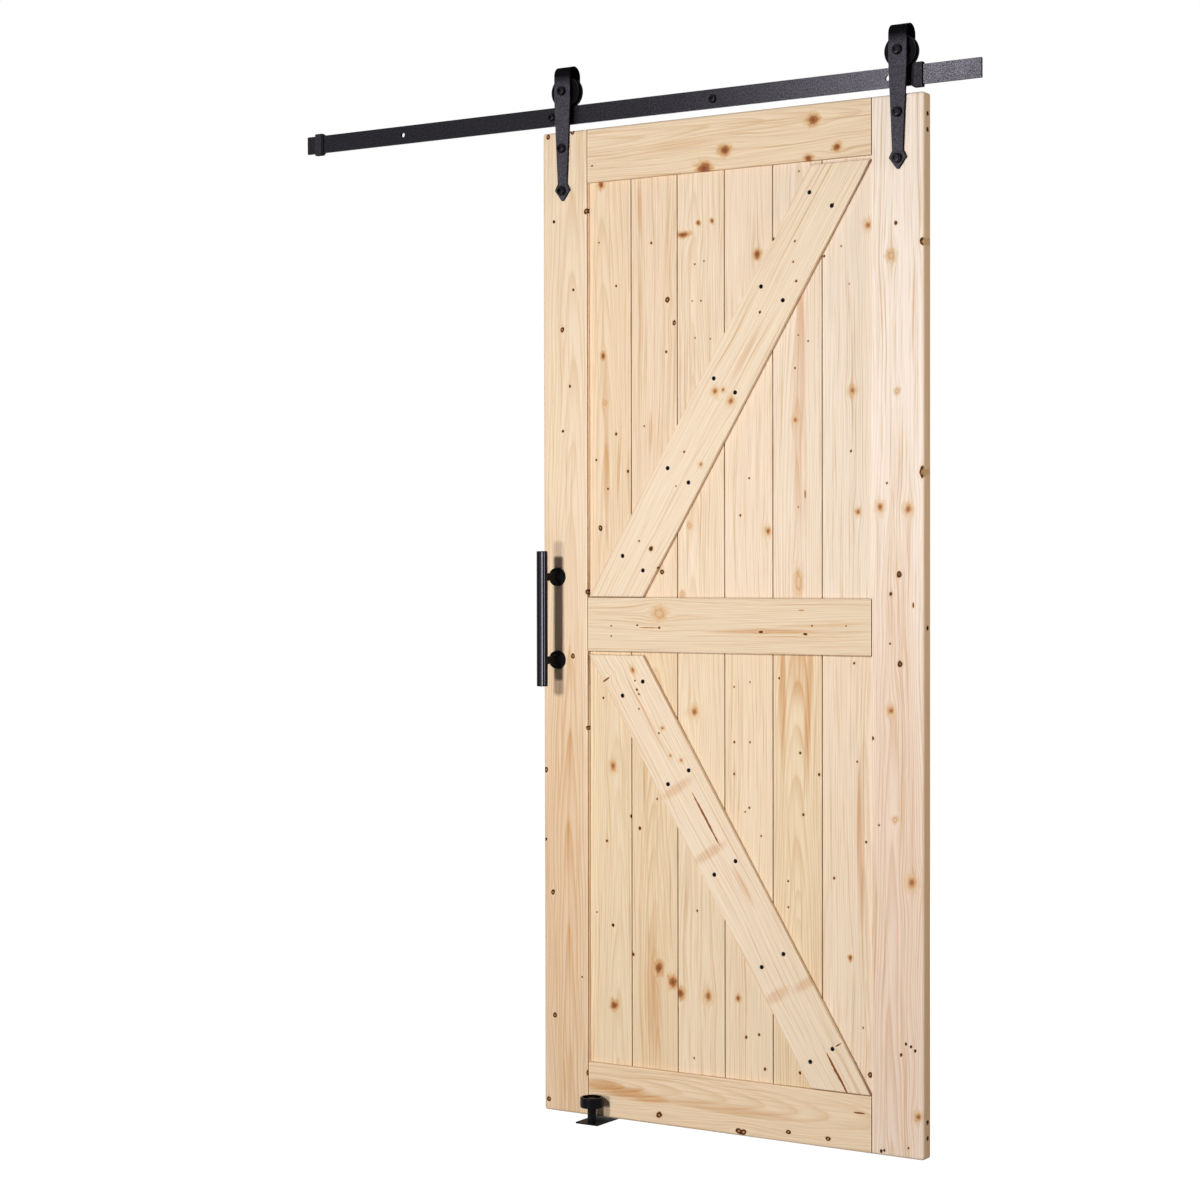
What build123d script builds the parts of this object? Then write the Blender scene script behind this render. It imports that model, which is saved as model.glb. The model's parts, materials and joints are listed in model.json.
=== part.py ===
"""A sliding plank door with a K of two braces, hung by two strap hangers from a flat bar track.

The frame: X runs along the track to the right, Y runs into the wall, Z is up.  The origin is the
middle of the wall side face of the right standoff, at the height of the track's middle.
Sizes are in millimetres.
"""

import os
from math import asin, atan2, hypot, sin, tan

from build123d import *

os.makedirs("parts", exist_ok=True)

# The door leaf
door_width = 914.4
door_height = 2133.6
door_thickness = 35.0
stile_width = 116.0
top_rail_height = 116.0
middle_rail_height = 116.0
bottom_rail_height = 116.0
middle_rail_centre = 1065.0
groove_depth = 10.0
joint_slack = 0.2
outer_round = 7.5
arris_round = 2.5
end_round = 5.5

# The tongue and groove planks behind the frame's face
plank_count = 6
plank_pitch = 115.0
plank_thickness = 15.0
plank_recess = 10.0
tongue_length = 7.0
tongue_thickness = 5.0
seam_gap = 0.5
seam_bevel = 2.0

# The two diagonal braces on the planks
brace_width = 116.0
brace_side_gap = 3.0
brace_top_gap = 8.0
brace_foot_gap = 1.5

# The bolts that draw the rails to the stiles, sunk in the stiles' outer edges
edge_hole_diameter = 11.0
edge_hole_depth = 40.0
edge_hole_spacing = 32.0

# The track, its standoffs and its wall bolts
track_height = 40.0
track_thickness = 6.0
track_right_reach = 610.5
track_left_reach = 1089.5
track_hole_pitch = 406.4
track_hole_diameter = 11.0
track_corner_round = 0.5
standoff_length = 40.0
standoff_diameter = 22.0
bolt_shank_diameter = 10.0
bolt_head_diameter = 18.0
bolt_head_height = 6.0
bolt_socket_size = 7.0
head_round = 4.0
socket_depth = 3.5

# The strap hangers
hanger_inset = 55.5
strap_thickness = 6.0
strap_gap = 30.0
strap_width = 40.0
strap_waist_width = 23.0
arrow_width = 38.0
arrow_tip_round = 3.0
bend_rise = 34.0
taper_drop = 20.0
waist_drop = 113.6
arrow_drop = 127.6
tip_drop = 152.6
hanger_bolt_drops = (37.6, 129.6)
hanger_bolt_diameter = 8.0
hanger_head_diameter = 20.0
hanger_head_height = 11.0
hanger_socket_size = 8.0
hanger_nut_size = 13.0
hanger_nut_height = 8.0
washer_diameter = 22.0
washer_thickness = 2.0
hole_slack = 0.2

# The grooved wheels that roll on the track's top edge
wheel_width = 24.0
wheel_flange_radius = 34.0
wheel_groove_radius = 30.0
wheel_groove_slack = 1.0
wheel_groove_slope = 1.5
wheel_hub_radius = 11.0
wheel_web_radius = 25.0
wheel_web_depth = 3.0
wheel_rim_bevel = 1.5
axle_diameter = 10.0
axle_head_diameter = 20.0
axle_head_height = 11.0
axle_socket_size = 8.0
axle_nut_size = 17.0
axle_nut_height = 8.0
running_slack = 0.05
hub_side_gap = 0.4
rolling_gap = 0.3

# The end stops on the track
stop_width = 18.0
stop_height = 50.0
stop_depth = 13.0
stop_round = 2.0
stop_slack = 0.2
bumper_thickness = 4.0
bumper_height = 46.0
bumper_depth = 11.0
bumper_round = 3.0
stop_reach = 5.0
left_stop_setback = 25.0
right_stop_setback = 126.8

# The door hangs this far below the track, and rests beside the right stop
door_top_gap = 16.4

# The bar pull
handle_inset = 39.0
handle_height = 1077.0
bar_length = 292.0
bar_diameter = 24.0
bar_end_round = 2.0
bar_reach = 62.0
post_spacing = 180.6
post_diameter = 17.0
base_diameter = 40.0
base_thickness = 9.0
base_round = 4.0
post_flare = 7.0
seat_slack = 0.05

# The floor guide
guide_inset = 144.0
guide_clearance = 5.0
plate_width = 56.0
plate_thickness = 3.0
plate_front_reach = 22.0
plate_back_reach = 40.0
plate_round = 2.0
plate_screw_spacing = 34.0
plate_screw_diameter = 5.5
plate_screw_setback = 18.0
guide_post_diameter = 18.6
guide_post_height = 31.0
guide_pin_diameter = 10.0
roller_diameter = 50.5
roller_height = 22.0
roller_round = 2.0
roller_recess_diameter = 40.0
roller_recess_depth = 6.0
roller_cap_diameter = 17.0
roller_cap_height = 3.0

# Places that follow from the sizes above
track_back = -standoff_length
track_middle = track_back - track_thickness / 2
door_front = track_middle - strap_gap / 2
door_top = -track_height / 2 - door_top_gap
door_bottom = door_top - door_height
axle_height = track_height / 2 + rolling_gap + wheel_groove_radius
wheel_half_chord = (wheel_flange_radius ** 2 - (axle_height - bumper_height / 2) ** 2) ** 0.5
left_bumper_face = -track_left_reach + left_stop_setback + stop_width + bumper_thickness
right_bumper_face = track_right_reach - right_stop_setback - stop_width - bumper_thickness
door_right = right_bumper_face - stop_reach - wheel_half_chord + hanger_inset
door_left = door_right - door_width
door_middle = door_front + door_thickness / 2
door_back = door_front + door_thickness
inner_left = door_left + stile_width
inner_right = door_right - stile_width
rail_length = inner_right - inner_left
plank_middle = door_front + plank_recess + plank_thickness / 2
bottom_rail_top = door_bottom + bottom_rail_height
middle_rail_bottom = door_bottom + middle_rail_centre - middle_rail_height / 2
middle_rail_top = middle_rail_bottom + middle_rail_height
top_rail_bottom = door_top - top_rail_height
hanger_places = {"left": door_left + hanger_inset, "right": door_right - hanger_inset}
hanger_bolt_heights = [door_top - drop for drop in hanger_bolt_drops]
standoff_places = {"left": -track_hole_pitch, "right": 0.0}
track_hole_places = [-2 * track_hole_pitch, -track_hole_pitch, 0.0, track_hole_pitch]
seat_thickness = plank_thickness - 2 * joint_slack
groove_reach = groove_depth - joint_slack


def write(builder, name):
    """Label a finished piece and write its file."""
    builder.part.label = name
    export_step(builder.part, f"parts/{name}.step")


def facing_wall(x, y, z):
    """A plane at a point, square to the wall and facing into it, with Z up."""
    return Plane(origin=(x, y, z), x_dir=(-1, 0, 0), z_dir=(0, 1, 0))


def edge_hole_heights():
    """Heights of the sunk bolts in a stile's edge: a pair at the end rails, one in the middle."""
    pair = edge_hole_spacing / 2
    top = door_top - top_rail_height / 2
    bottom = door_bottom + bottom_rail_height / 2
    return [bottom - pair, bottom + pair, door_bottom + middle_rail_centre, top - pair, top + pair]


def make_stile(side, outer_x, inward):
    """One stile, grooved along its inner edge, with bolts sunk in its outer edge."""
    groove_x = outer_x + inward * (stile_width - groove_depth / 2)
    with BuildPart() as stile:
        with BuildSketch(Plane.XY.offset(door_bottom)) as section:
            with Locations((outer_x + inward * stile_width / 2, door_middle)):
                Rectangle(stile_width, door_thickness)
            fillet(section.vertices().sort_by(Axis.X, reverse=inward < 0)[:2], outer_round)
        extrude(amount=door_height)
        inner_face = stile.faces().sort_by(Axis.X, reverse=inward < 0)[-1]
        fillet(stile.faces().filter_by(Axis.Z).edges() - inner_face.edges(), end_round)
        inner_face = stile.faces().sort_by(Axis.X, reverse=inward < 0)[-1]
        fillet(inner_face.edges(), arris_round)
        with BuildSketch(Plane.XY.offset(door_bottom)):
            with Locations((groove_x, plank_middle)):
                Rectangle(groove_depth, plank_thickness)
        extrude(amount=door_height, mode=Mode.SUBTRACT)
        edge_plane = Plane(origin=(outer_x, door_middle, 0), x_dir=(0, 1, 0), z_dir=(inward, 0, 0))
        with BuildSketch(edge_plane):
            with Locations([edge_plane.to_local_coords(Vector(outer_x, door_middle, z))
                            for z in edge_hole_heights()]):
                Circle(edge_hole_diameter / 2)
        extrude(amount=edge_hole_depth, mode=Mode.SUBTRACT)
        for z in hanger_bolt_heights:
            with BuildSketch(facing_wall(hanger_places[side], door_front, z)):
                Circle(hanger_bolt_diameter / 2 + hole_slack)
            extrude(amount=door_thickness, mode=Mode.SUBTRACT)
    write(stile, f"{side}_stile")


def make_rail(name, bottom, height, groove_above, groove_below):
    """One rail between the stiles, with a stub tenon at each end and grooves for the planks."""
    grooves = [bottom + groove_depth / 2] * groove_below
    grooves += [bottom + height - groove_depth / 2] * groove_above
    tenon_bottom = bottom + groove_depth * groove_below
    tenon_top = bottom + height - groove_depth * groove_above
    with BuildPart() as rail:
        with BuildSketch(Plane.YZ.offset(inner_left)) as section:
            with Locations((door_middle, bottom + height / 2)):
                Rectangle(door_thickness, height)
            lower_corners = section.vertices().sort_by(Axis.Y)[:2]
            fillet(lower_corners, arris_round if groove_below else end_round)
            upper_corners = section.vertices().sort_by(Axis.Y)[-2:]
            fillet(upper_corners, arris_round if groove_above else end_round)
            with Locations([(plank_middle, z) for z in grooves]):
                Rectangle(plank_thickness, groove_depth, mode=Mode.SUBTRACT)
        extrude(amount=rail_length)
        with BuildSketch(Plane.YZ.offset(inner_left - groove_reach)):
            with Locations((plank_middle, (tenon_bottom + tenon_top) / 2)):
                Rectangle(seat_thickness, tenon_top - tenon_bottom)
        extrude(amount=rail_length + 2 * groove_reach)
    write(rail, name)


def make_planks(panel, bottom, top):
    """One panel of tongue and groove planks, from the left groove to the right one."""
    first_edge = inner_left - groove_depth
    seams = [first_edge + plank_pitch * n for n in range(1, plank_count)]
    lefts = [inner_left - groove_reach] + [x + seam_gap / 2 for x in seams]
    rights = [x - seam_gap / 2 for x in seams] + [inner_right + groove_reach]
    for number, (left, right) in enumerate(zip(lefts, rights), start=1):
        has_groove = number > 1
        has_tongue = number < plank_count
        with BuildPart() as plank:
            with BuildSketch(Plane.XY.offset(bottom - groove_reach)) as section:
                with Locations(((left + right) / 2, plank_middle)):
                    Rectangle(right - left, seat_thickness)
                corners = section.vertices().sort_by(Axis.X)
                chamfer(corners[:2] * has_groove + corners[2:] * has_tongue, seam_bevel)
                if has_groove:
                    with Locations((left, plank_middle)):
                        Rectangle(tongue_length, tongue_thickness + 2 * joint_slack,
                                  align=(Align.MIN, Align.CENTER), mode=Mode.SUBTRACT)
                if has_tongue:
                    with Locations((right, plank_middle)):
                        Rectangle(tongue_length, tongue_thickness, align=(Align.MIN, Align.CENTER))
            extrude(amount=top - bottom + 2 * groove_reach)
        write(plank, f"{panel}_plank_{number}")


def make_brace(panel, bottom, top, rising):
    """One diagonal brace on the planks: its ends are cut level and its face lies with the frame's."""
    foot = bottom + brace_foot_gap
    head = top - brace_top_gap
    left = inner_left + brace_side_gap
    right = inner_right - brace_side_gap
    span, rise = right - left, head - foot
    slope = atan2(rise, span) + asin(brace_width / hypot(span, rise))
    cut_length = brace_width / sin(slope)
    run = rise / tan(slope)
    start = left if rising else left + run
    lean = run if rising else -run
    corners = [(start, foot), (start + cut_length, foot),
               (start + lean + cut_length, head), (start + lean, head)]
    with BuildPart() as brace:
        with BuildSketch(Plane.XZ.offset(-door_front)):
            with BuildLine():
                Polyline(*corners, close=True)
            make_face()
        extrude(amount=-plank_recess - joint_slack)
        fillet(brace.faces().sort_by(Axis.Y)[0].edges(), arris_round)
    write(brace, f"{panel}_brace")


def make_hanger(side):
    """A strap bent over the wheel, tapered down to an arrow head on the door's face."""
    x = hanger_places[side]
    bend_centre = axle_height + bend_rise
    inner, outer = strap_gap / 2, strap_gap / 2 + strap_thickness
    tip = door_top - tip_drop
    half, waist, arrow = strap_width / 2, strap_waist_width / 2, arrow_width / 2
    with BuildPart() as hanger:
        side_plane = Plane(origin=(x - half, track_middle, 0), x_dir=(0, 1, 0), z_dir=(1, 0, 0))
        with BuildSketch(side_plane):
            with Locations((0, bend_centre)):
                Circle(outer)
                Circle(inner, mode=Mode.SUBTRACT)
                Rectangle(2 * outer, 2 * outer, align=(Align.CENTER, Align.MAX), mode=Mode.SUBTRACT)
            with Locations((-inner, bend_centre)):
                Rectangle(strap_thickness, bend_centre - tip, align=(Align.MAX, Align.MAX))
            with Locations((inner, bend_centre)):
                Rectangle(strap_thickness, bend_rise + half, align=(Align.MIN, Align.MAX))
        extrude(amount=strap_width)
        with BuildSketch(Plane.XZ.offset(-door_front)):
            with BuildLine():
                Polyline((x - half, bend_centre + outer), (x + half, bend_centre + outer),
                         (x + half, axle_height - taper_drop), (x + waist, door_top - waist_drop),
                         (x + arrow, door_top - arrow_drop), (x, tip),
                         (x - arrow, door_top - arrow_drop), (x - waist, door_top - waist_drop),
                         (x - half, axle_height - taper_drop), close=True)
            make_face()
        extrude(amount=strap_thickness + strap_gap, both=True, mode=Mode.INTERSECT)
        fillet(hanger.edges().filter_by(Axis.Y).sort_by(Axis.Z)[0], arrow_tip_round)
        back_corners = hanger.edges().filter_by(Axis.Y).group_by(Axis.Y)[-1]
        fillet(back_corners, half - joint_slack)
        with BuildSketch(facing_wall(x, door_front - strap_thickness, axle_height)):
            Circle(axle_diameter / 2 + hole_slack)
        extrude(amount=strap_gap + 2 * strap_thickness, mode=Mode.SUBTRACT)
        for z in hanger_bolt_heights:
            with BuildSketch(facing_wall(x, door_front - strap_thickness, z)):
                Circle(hanger_bolt_diameter / 2 + hole_slack)
            extrude(amount=strap_thickness, mode=Mode.SUBTRACT)
    write(hanger, f"{side}_hanger")


def make_bolts(name, seats, head, shank, grip, washer=None, nut=None):
    """Like bolts on their seats: domed socket heads, shanks through the grip, washers and nuts behind."""
    head_size, head_height, socket_size = head
    with BuildPart() as bolts:
        for seat in seats:
            with BuildSketch(facing_wall(*seat)):
                Circle(head_size / 2)
            extrude(amount=-head_height)
        fillet(bolts.faces().group_by(Axis.Y)[0].edges(), head_round)
        for x, y, z in seats:
            with BuildSketch(facing_wall(x, y - head_height, z)):
                RegularPolygon(socket_size / 2, 6, major_radius=False)
            extrude(amount=socket_depth, mode=Mode.SUBTRACT)
            back = y + grip
            with BuildSketch(facing_wall(x, y, z)):
                Circle(shank / 2)
            extrude(amount=grip)
            if washer:
                with BuildSketch(facing_wall(x, back, z)):
                    Circle(washer[0] / 2)
                extrude(amount=washer[1])
                back += washer[1]
            if nut:
                with BuildSketch(facing_wall(x, back, z)):
                    RegularPolygon(nut[0] / 2, 6, major_radius=False)
                extrude(amount=nut[1])
    write(bolts, name)


def make_hanger_fixings(side):
    """The two bolts that hold a hanger to its stile, and the axle bolt through both its legs."""
    x = hanger_places[side]
    strap_face = door_front - strap_thickness
    make_bolts(f"{side}_hanger_bolts", [(x, strap_face, z) for z in hanger_bolt_heights],
               (hanger_head_diameter, hanger_head_height, hanger_socket_size), hanger_bolt_diameter,
               strap_thickness + door_thickness, (washer_diameter, washer_thickness),
               (hanger_nut_size, hanger_nut_height))
    make_bolts(f"{side}_axle", [(x, strap_face, axle_height)],
               (axle_head_diameter, axle_head_height, axle_socket_size), axle_diameter,
               strap_gap + 2 * strap_thickness, nut=(axle_nut_size, axle_nut_height))


def make_wheel(side):
    """A grooved wheel: its two flanges hang beside the track, and its hub spaces it in the strap."""
    x = hanger_places[side]
    half = wheel_width / 2
    hub_half = strap_gap / 2 - hub_side_gap
    groove_half = track_thickness / 2 + wheel_groove_slack
    bore = axle_diameter / 2 + running_slack
    radial = Plane(origin=(x, track_middle, axle_height), x_dir=(0, 1, 0), z_dir=(1, 0, 0))
    with BuildPart() as wheel:
        with BuildSketch(radial):
            with BuildLine():
                Polyline((0, bore), (hub_half, bore), (hub_half, wheel_hub_radius),
                         (half - wheel_web_depth, wheel_hub_radius),
                         (half - wheel_web_depth, wheel_web_radius), (half, wheel_web_radius),
                         (half, wheel_flange_radius - wheel_rim_bevel),
                         (half - wheel_rim_bevel, wheel_flange_radius),
                         (groove_half + wheel_groove_slope, wheel_flange_radius),
                         (groove_half, wheel_groove_radius), (0, wheel_groove_radius), close=True)
            make_face()
            mirror(about=Plane.YZ)
        revolve(axis=Axis((x, track_middle, axle_height), (0, 1, 0)))
    write(wheel, f"{side}_wheel")


def make_track():
    """The flat bar that the wheels roll on, with a row of holes for its wall bolts."""
    length = track_left_reach + track_right_reach
    middle = (track_right_reach - track_left_reach) / 2
    with BuildPart() as track:
        with BuildSketch(Plane.XZ.offset(-track_back)) as face:
            with Locations((middle, 0)):
                Rectangle(length, track_height)
            fillet(face.vertices(), track_corner_round)
            with Locations([(place, 0) for place in track_hole_places]):
                Circle(track_hole_diameter / 2, mode=Mode.SUBTRACT)
        extrude(amount=track_thickness)
    write(track, "track_rail")


def make_standoff(side):
    """A spacer tube between the track and the wall, and the bolt through it."""
    x = standoff_places[side]
    with BuildPart() as standoff:
        with BuildSketch(facing_wall(x, track_back, 0)):
            Circle(standoff_diameter / 2)
            Circle(track_hole_diameter / 2, mode=Mode.SUBTRACT)
        extrude(amount=standoff_length)
    write(standoff, f"{side}_standoff")
    make_bolts(f"{side}_wall_bolt", [(x, track_back - track_thickness, 0)],
               (bolt_head_diameter, bolt_head_height, bolt_socket_size), bolt_shank_diameter,
               track_thickness + standoff_length)


def make_stop(side, bumper_face, outward):
    """A stop block that wraps the track, with a rubber bumper towards the wheel."""
    block_face = bumper_face + outward * bumper_thickness
    block_middle = block_face + outward * stop_width / 2
    with BuildPart() as stop:
        with BuildSketch(Plane.YZ.offset(block_middle)) as section:
            with Locations((track_middle, 0)):
                Rectangle(stop_depth, stop_height)
            fillet(section.vertices(), stop_round)
            with Locations((track_middle, 0)):
                Rectangle(track_thickness + 2 * stop_slack, track_height + 2 * stop_slack,
                          mode=Mode.SUBTRACT)
        extrude(amount=stop_width / 2, both=True)
    write(stop, f"{side}_stop")
    with BuildPart() as bumper:
        with BuildSketch(Plane.YZ.offset(block_face)) as section:
            with Locations((track_middle, 0)):
                Rectangle(bumper_depth, bumper_height)
            fillet(section.vertices(), bumper_round)
            with Locations((track_middle, 0)):
                Rectangle(track_thickness + 2 * stop_slack, track_height + 2 * stop_slack,
                          mode=Mode.SUBTRACT)
        extrude(amount=-outward * bumper_thickness)
    write(bumper, f"{side}_bumper")


def make_handle():
    """A round bar on two posts, each flared into a round base against the left stile."""
    x = door_left + handle_inset
    bar_y = door_front - bar_reach
    middle = door_bottom + handle_height
    with BuildPart() as bar:
        with BuildSketch(Plane(origin=(x, bar_y, middle))):
            Circle(bar_diameter / 2)
        extrude(amount=bar_length / 2, both=True)
        fillet(bar.edges().filter_by(GeomType.CIRCLE), bar_end_round)
    write(bar, "handle_bar")
    posts = {"upper": middle + post_spacing / 2, "lower": middle - post_spacing / 2}
    for level, z in posts.items():
        with BuildPart() as post:
            with BuildSketch(facing_wall(x, door_front, z)):
                Circle(base_diameter / 2)
            extrude(amount=-base_thickness)
            with BuildSketch(facing_wall(x, door_front, z)):
                Circle(post_diameter / 2)
            extrude(amount=-bar_reach)
            post_ends = post.edges().filter_by(GeomType.CIRCLE).sort_by(SortBy.RADIUS)[:2]
            fillet(post_ends.sort_by(Axis.Y)[-1], post_flare)
            base_rims = post.edges().filter_by(GeomType.CIRCLE).sort_by(SortBy.RADIUS)[-2:]
            fillet(base_rims.sort_by(Axis.Y)[0], base_round)
            with BuildSketch(Plane(origin=(x, bar_y, z))):
                Circle(bar_diameter / 2 + seat_slack)
            extrude(amount=base_diameter, both=True, mode=Mode.SUBTRACT)
        write(post, f"handle_{level}_post")


def make_guide():
    """The floor guide: a plate under the door, a post in front of it and a roller on the post."""
    x = door_left + guide_inset
    post_y = door_front - guide_clearance - roller_diameter / 2
    plate_top = door_bottom - guide_clearance
    plate_front = post_y - plate_front_reach
    plate_back = door_front + plate_back_reach
    screw_y = door_front + plate_screw_setback
    roller_bottom = plate_top + guide_post_height + rolling_gap
    with BuildPart() as plate:
        with BuildSketch(Plane.XY.offset(plate_top)) as outline:
            with Locations((x, (plate_front + plate_back) / 2)):
                Rectangle(plate_width, plate_back - plate_front)
            fillet(outline.vertices(), plate_round)
            with Locations((x - plate_screw_spacing / 2, screw_y), (x + plate_screw_spacing / 2, screw_y)):
                Circle(plate_screw_diameter / 2, mode=Mode.SUBTRACT)
        extrude(amount=-plate_thickness)
    write(plate, "guide_plate")
    with BuildPart() as post:
        with BuildSketch(Plane.XY.offset(plate_top)):
            with Locations((x, post_y)):
                Circle(guide_post_diameter / 2)
        extrude(amount=guide_post_height)
        with BuildSketch(Plane.XY.offset(plate_top + guide_post_height)):
            with Locations((x, post_y)):
                Circle(guide_pin_diameter / 2)
        extrude(amount=roller_height - roller_recess_depth + 2 * rolling_gap)
        with BuildSketch(Plane.XY.offset(roller_bottom + roller_height - roller_recess_depth + rolling_gap)):
            with Locations((x, post_y)):
                Circle(roller_cap_diameter / 2)
        extrude(amount=roller_cap_height)
    write(post, "guide_post")
    with BuildPart() as roller:
        with BuildSketch(Plane.XY.offset(roller_bottom)):
            with Locations((x, post_y)):
                Circle(roller_diameter / 2)
                Circle(guide_pin_diameter / 2 + running_slack, mode=Mode.SUBTRACT)
        extrude(amount=roller_height)
        rims = roller.edges().filter_by(GeomType.CIRCLE).sort_by(SortBy.RADIUS)[-2:]
        fillet(rims, roller_round)
        with BuildSketch(Plane.XY.offset(roller_bottom + roller_height)):
            with Locations((x, post_y)):
                Circle(roller_recess_diameter / 2)
        extrude(amount=-roller_recess_depth, mode=Mode.SUBTRACT)
    write(roller, "guide_roller")


make_stile("left", door_left, 1)
make_stile("right", door_right, -1)
make_rail("top_rail", top_rail_bottom, top_rail_height, 0, 1)
make_rail("middle_rail", middle_rail_bottom, middle_rail_height, 1, 1)
make_rail("bottom_rail", door_bottom, bottom_rail_height, 1, 0)
make_planks("upper", middle_rail_top, top_rail_bottom)
make_planks("lower", bottom_rail_top, middle_rail_bottom)
make_brace("upper", middle_rail_top, top_rail_bottom, True)
make_brace("lower", bottom_rail_top, middle_rail_bottom, False)
for hanger_side in hanger_places:
    make_hanger(hanger_side)
    make_hanger_fixings(hanger_side)
    make_wheel(hanger_side)
make_track()
for standoff_side in standoff_places:
    make_standoff(standoff_side)
make_stop("left", left_bumper_face, -1)
make_stop("right", right_bumper_face, 1)
make_handle()
make_guide()
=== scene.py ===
"""Looks of a sliding barn door: knotty spruce boards, black coated track and hangers, and its screws."""

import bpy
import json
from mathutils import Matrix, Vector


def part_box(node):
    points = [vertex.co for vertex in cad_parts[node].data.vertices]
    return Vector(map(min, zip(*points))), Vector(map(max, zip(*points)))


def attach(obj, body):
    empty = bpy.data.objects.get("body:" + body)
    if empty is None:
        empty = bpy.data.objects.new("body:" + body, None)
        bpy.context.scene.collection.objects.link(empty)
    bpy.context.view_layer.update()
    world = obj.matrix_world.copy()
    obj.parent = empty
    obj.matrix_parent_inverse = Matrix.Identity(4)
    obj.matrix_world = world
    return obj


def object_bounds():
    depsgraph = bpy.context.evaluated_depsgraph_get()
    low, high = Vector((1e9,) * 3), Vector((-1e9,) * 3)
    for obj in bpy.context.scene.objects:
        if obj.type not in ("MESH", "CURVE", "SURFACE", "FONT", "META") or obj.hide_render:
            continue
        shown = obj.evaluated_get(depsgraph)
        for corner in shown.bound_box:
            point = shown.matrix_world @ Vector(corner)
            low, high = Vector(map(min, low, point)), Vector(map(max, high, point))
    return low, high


bl_info = {
    "name": "Barn door looks",
    "version": (1, 0, 0),
    "blender": (4, 5, 0),
    "location": "View3D > Sidebar > Barn door",
    "description": "Gives a sliding plank door its knotty spruce, black hardware, screws and studio",
    "category": "Object",
}

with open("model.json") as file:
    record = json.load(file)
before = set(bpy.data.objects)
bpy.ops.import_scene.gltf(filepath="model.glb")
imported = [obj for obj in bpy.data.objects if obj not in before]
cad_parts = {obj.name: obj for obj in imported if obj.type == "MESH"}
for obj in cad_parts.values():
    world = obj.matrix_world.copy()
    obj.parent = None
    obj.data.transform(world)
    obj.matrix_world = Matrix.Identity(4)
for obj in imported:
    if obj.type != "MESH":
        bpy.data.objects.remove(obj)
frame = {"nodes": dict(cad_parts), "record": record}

import json
from math import asin, atan2, cos, hypot, pi, radians, sin

import bmesh
import bpy
from bpy.props import FloatProperty, FloatVectorProperty, PointerProperty
from mathutils import Matrix, Vector

CAD_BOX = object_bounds()
MM = 0.001

# The numbers of a colour mix node's sockets, and the kinds of a node group's sockets
MIX_FACTOR, MIX_A, MIX_B, MIX_RESULT = 0, 6, 7, 2
NUMBER, VECTOR = "NodeSocketFloat", "NodeSocketVector"

# The door's lower left front corner, from which places on the leaf are given in millimetres
LEAF_LOW, LEAF_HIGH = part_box("left_stile")[0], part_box("right_stile")[1]
LEAF_THICKNESS = LEAF_HIGH.y - LEAF_LOW.y

# The width of stiles, rails and braces
BOARD_WIDTH = 116 * MM

# How far behind the frame's faces the planks lie, in mm
RECESS = 10.0

# Where boards meet side by side: the first joint and the way to the next, and how far the shading of a
# joint reaches
PLANK_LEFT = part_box("upper_plank_2")[0].x
HALF_GAP = 0.25 * MM
PLANK_JOINTS = (PLANK_LEFT - HALF_GAP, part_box("upper_plank_3")[0].x - PLANK_LEFT)
STILE_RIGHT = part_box("left_stile")[1].x
FRAME_JOINTS = (STILE_RIGHT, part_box("right_stile")[0].x - STILE_RIGHT)
JOINT_REACH = 5 * MM

# The one long side of a rail that a plank meets: 1 is its upper side.  Other boards have two
INNER_SIDE = {"top_rail": -1.0, "bottom_rail": 1.0}

# Brace screws: from pair to pair along a brace, from one to the other in a pair, and their heads' height
PAIR_PITCH, PAIR_SPREAD, SCREW_RISE = 217 * MM, 60 * MM, 0.5 * MM

# Frame bolts: their heights above the leaf's lower edge in mm, and the length of a head
FRAME_BOLT_HEIGHTS = (42, 74, 1065, 2059.6, 2091.6)
FRAME_BOLT_HEAD = 8 * MM

# Pull bolts: the height of a head, and the radius and thickness of its washer
PULL_HEAD_HEIGHT, WASHER_RADIUS, WASHER_THICKNESS = 6 * MM, 11 * MM, 1.5 * MM

# The camera of the photograph: how far right of the leaf's corner it stands, above it and behind it in mm,
# its turns in degrees, and its lens
CAMERA_PLACE = (3092.8, 1185.2, -4587.4)
CAMERA_TURNS = (90 - 0.713, 0.096, 32.7)
LENS_MM, SENSOR_MM, VIEW_DEPTH = 75.85, 36.0, 100.0

# The point of the leaf that the lamps face, in mm
LAMP_AIM = (457, 1077)

# The floor: how far it reaches from the middle, in metres, and its gap below the part
FLOOR_REACH, FLOOR_GAP = 20.0, 0.5 * MM

# The step in noise from one board to the next, and how many times longer than wide a knot is where its
# list doesn't say
SEED_STEP, ROUND_KNOT = 7.3, 1.15

# The height over which painted shade turns a hanger's strap black above its axle
STRAP_SHADE_FADE = 24 * MM


def linear(colour):
    """A colour written as sRGB hex, in Blender's linear light."""
    parts = [int(colour[place:place + 2], 16) / 255 for place in (1, 3, 5)]
    return tuple(p / 12.92 if p <= 0.04045 else ((p + 0.055) / 1.055) ** 2.4 for p in parts) + (1.0,)


def grey(value):
    """A grey for a ramp's stop."""
    return (value, value, value, 1.0)


def on_leaf(x, z, y=0.0):
    """A point on the leaf, from its lower left front corner, in millimetres."""
    return LEAF_LOW + Vector((x, y, z)) * MM


# The faint violet of light that glances off the black finishes
COOL_GLOSS = linear("#F4EDFF")

# One year's growth: early wood that darkens slowly into late wood and breaks off
YEAR_RING = ((0.0, grey(0.25)), (0.12, grey(0.0)), (0.45, grey(0.10)), (0.80, grey(0.75)), (0.92, grey(1.0)),
             (1.0, grey(0.25)))

# From stained wood to the black of a dead knot's rim
KNOT_TONES = ((0.0, linear("#EBCFA8")), (0.16, linear("#DDB482")), (0.34, linear("#C48A56")),
              (0.56, linear("#96592F")), (0.80, linear("#5C321B")), (1.0, linear("#221109")))
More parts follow.
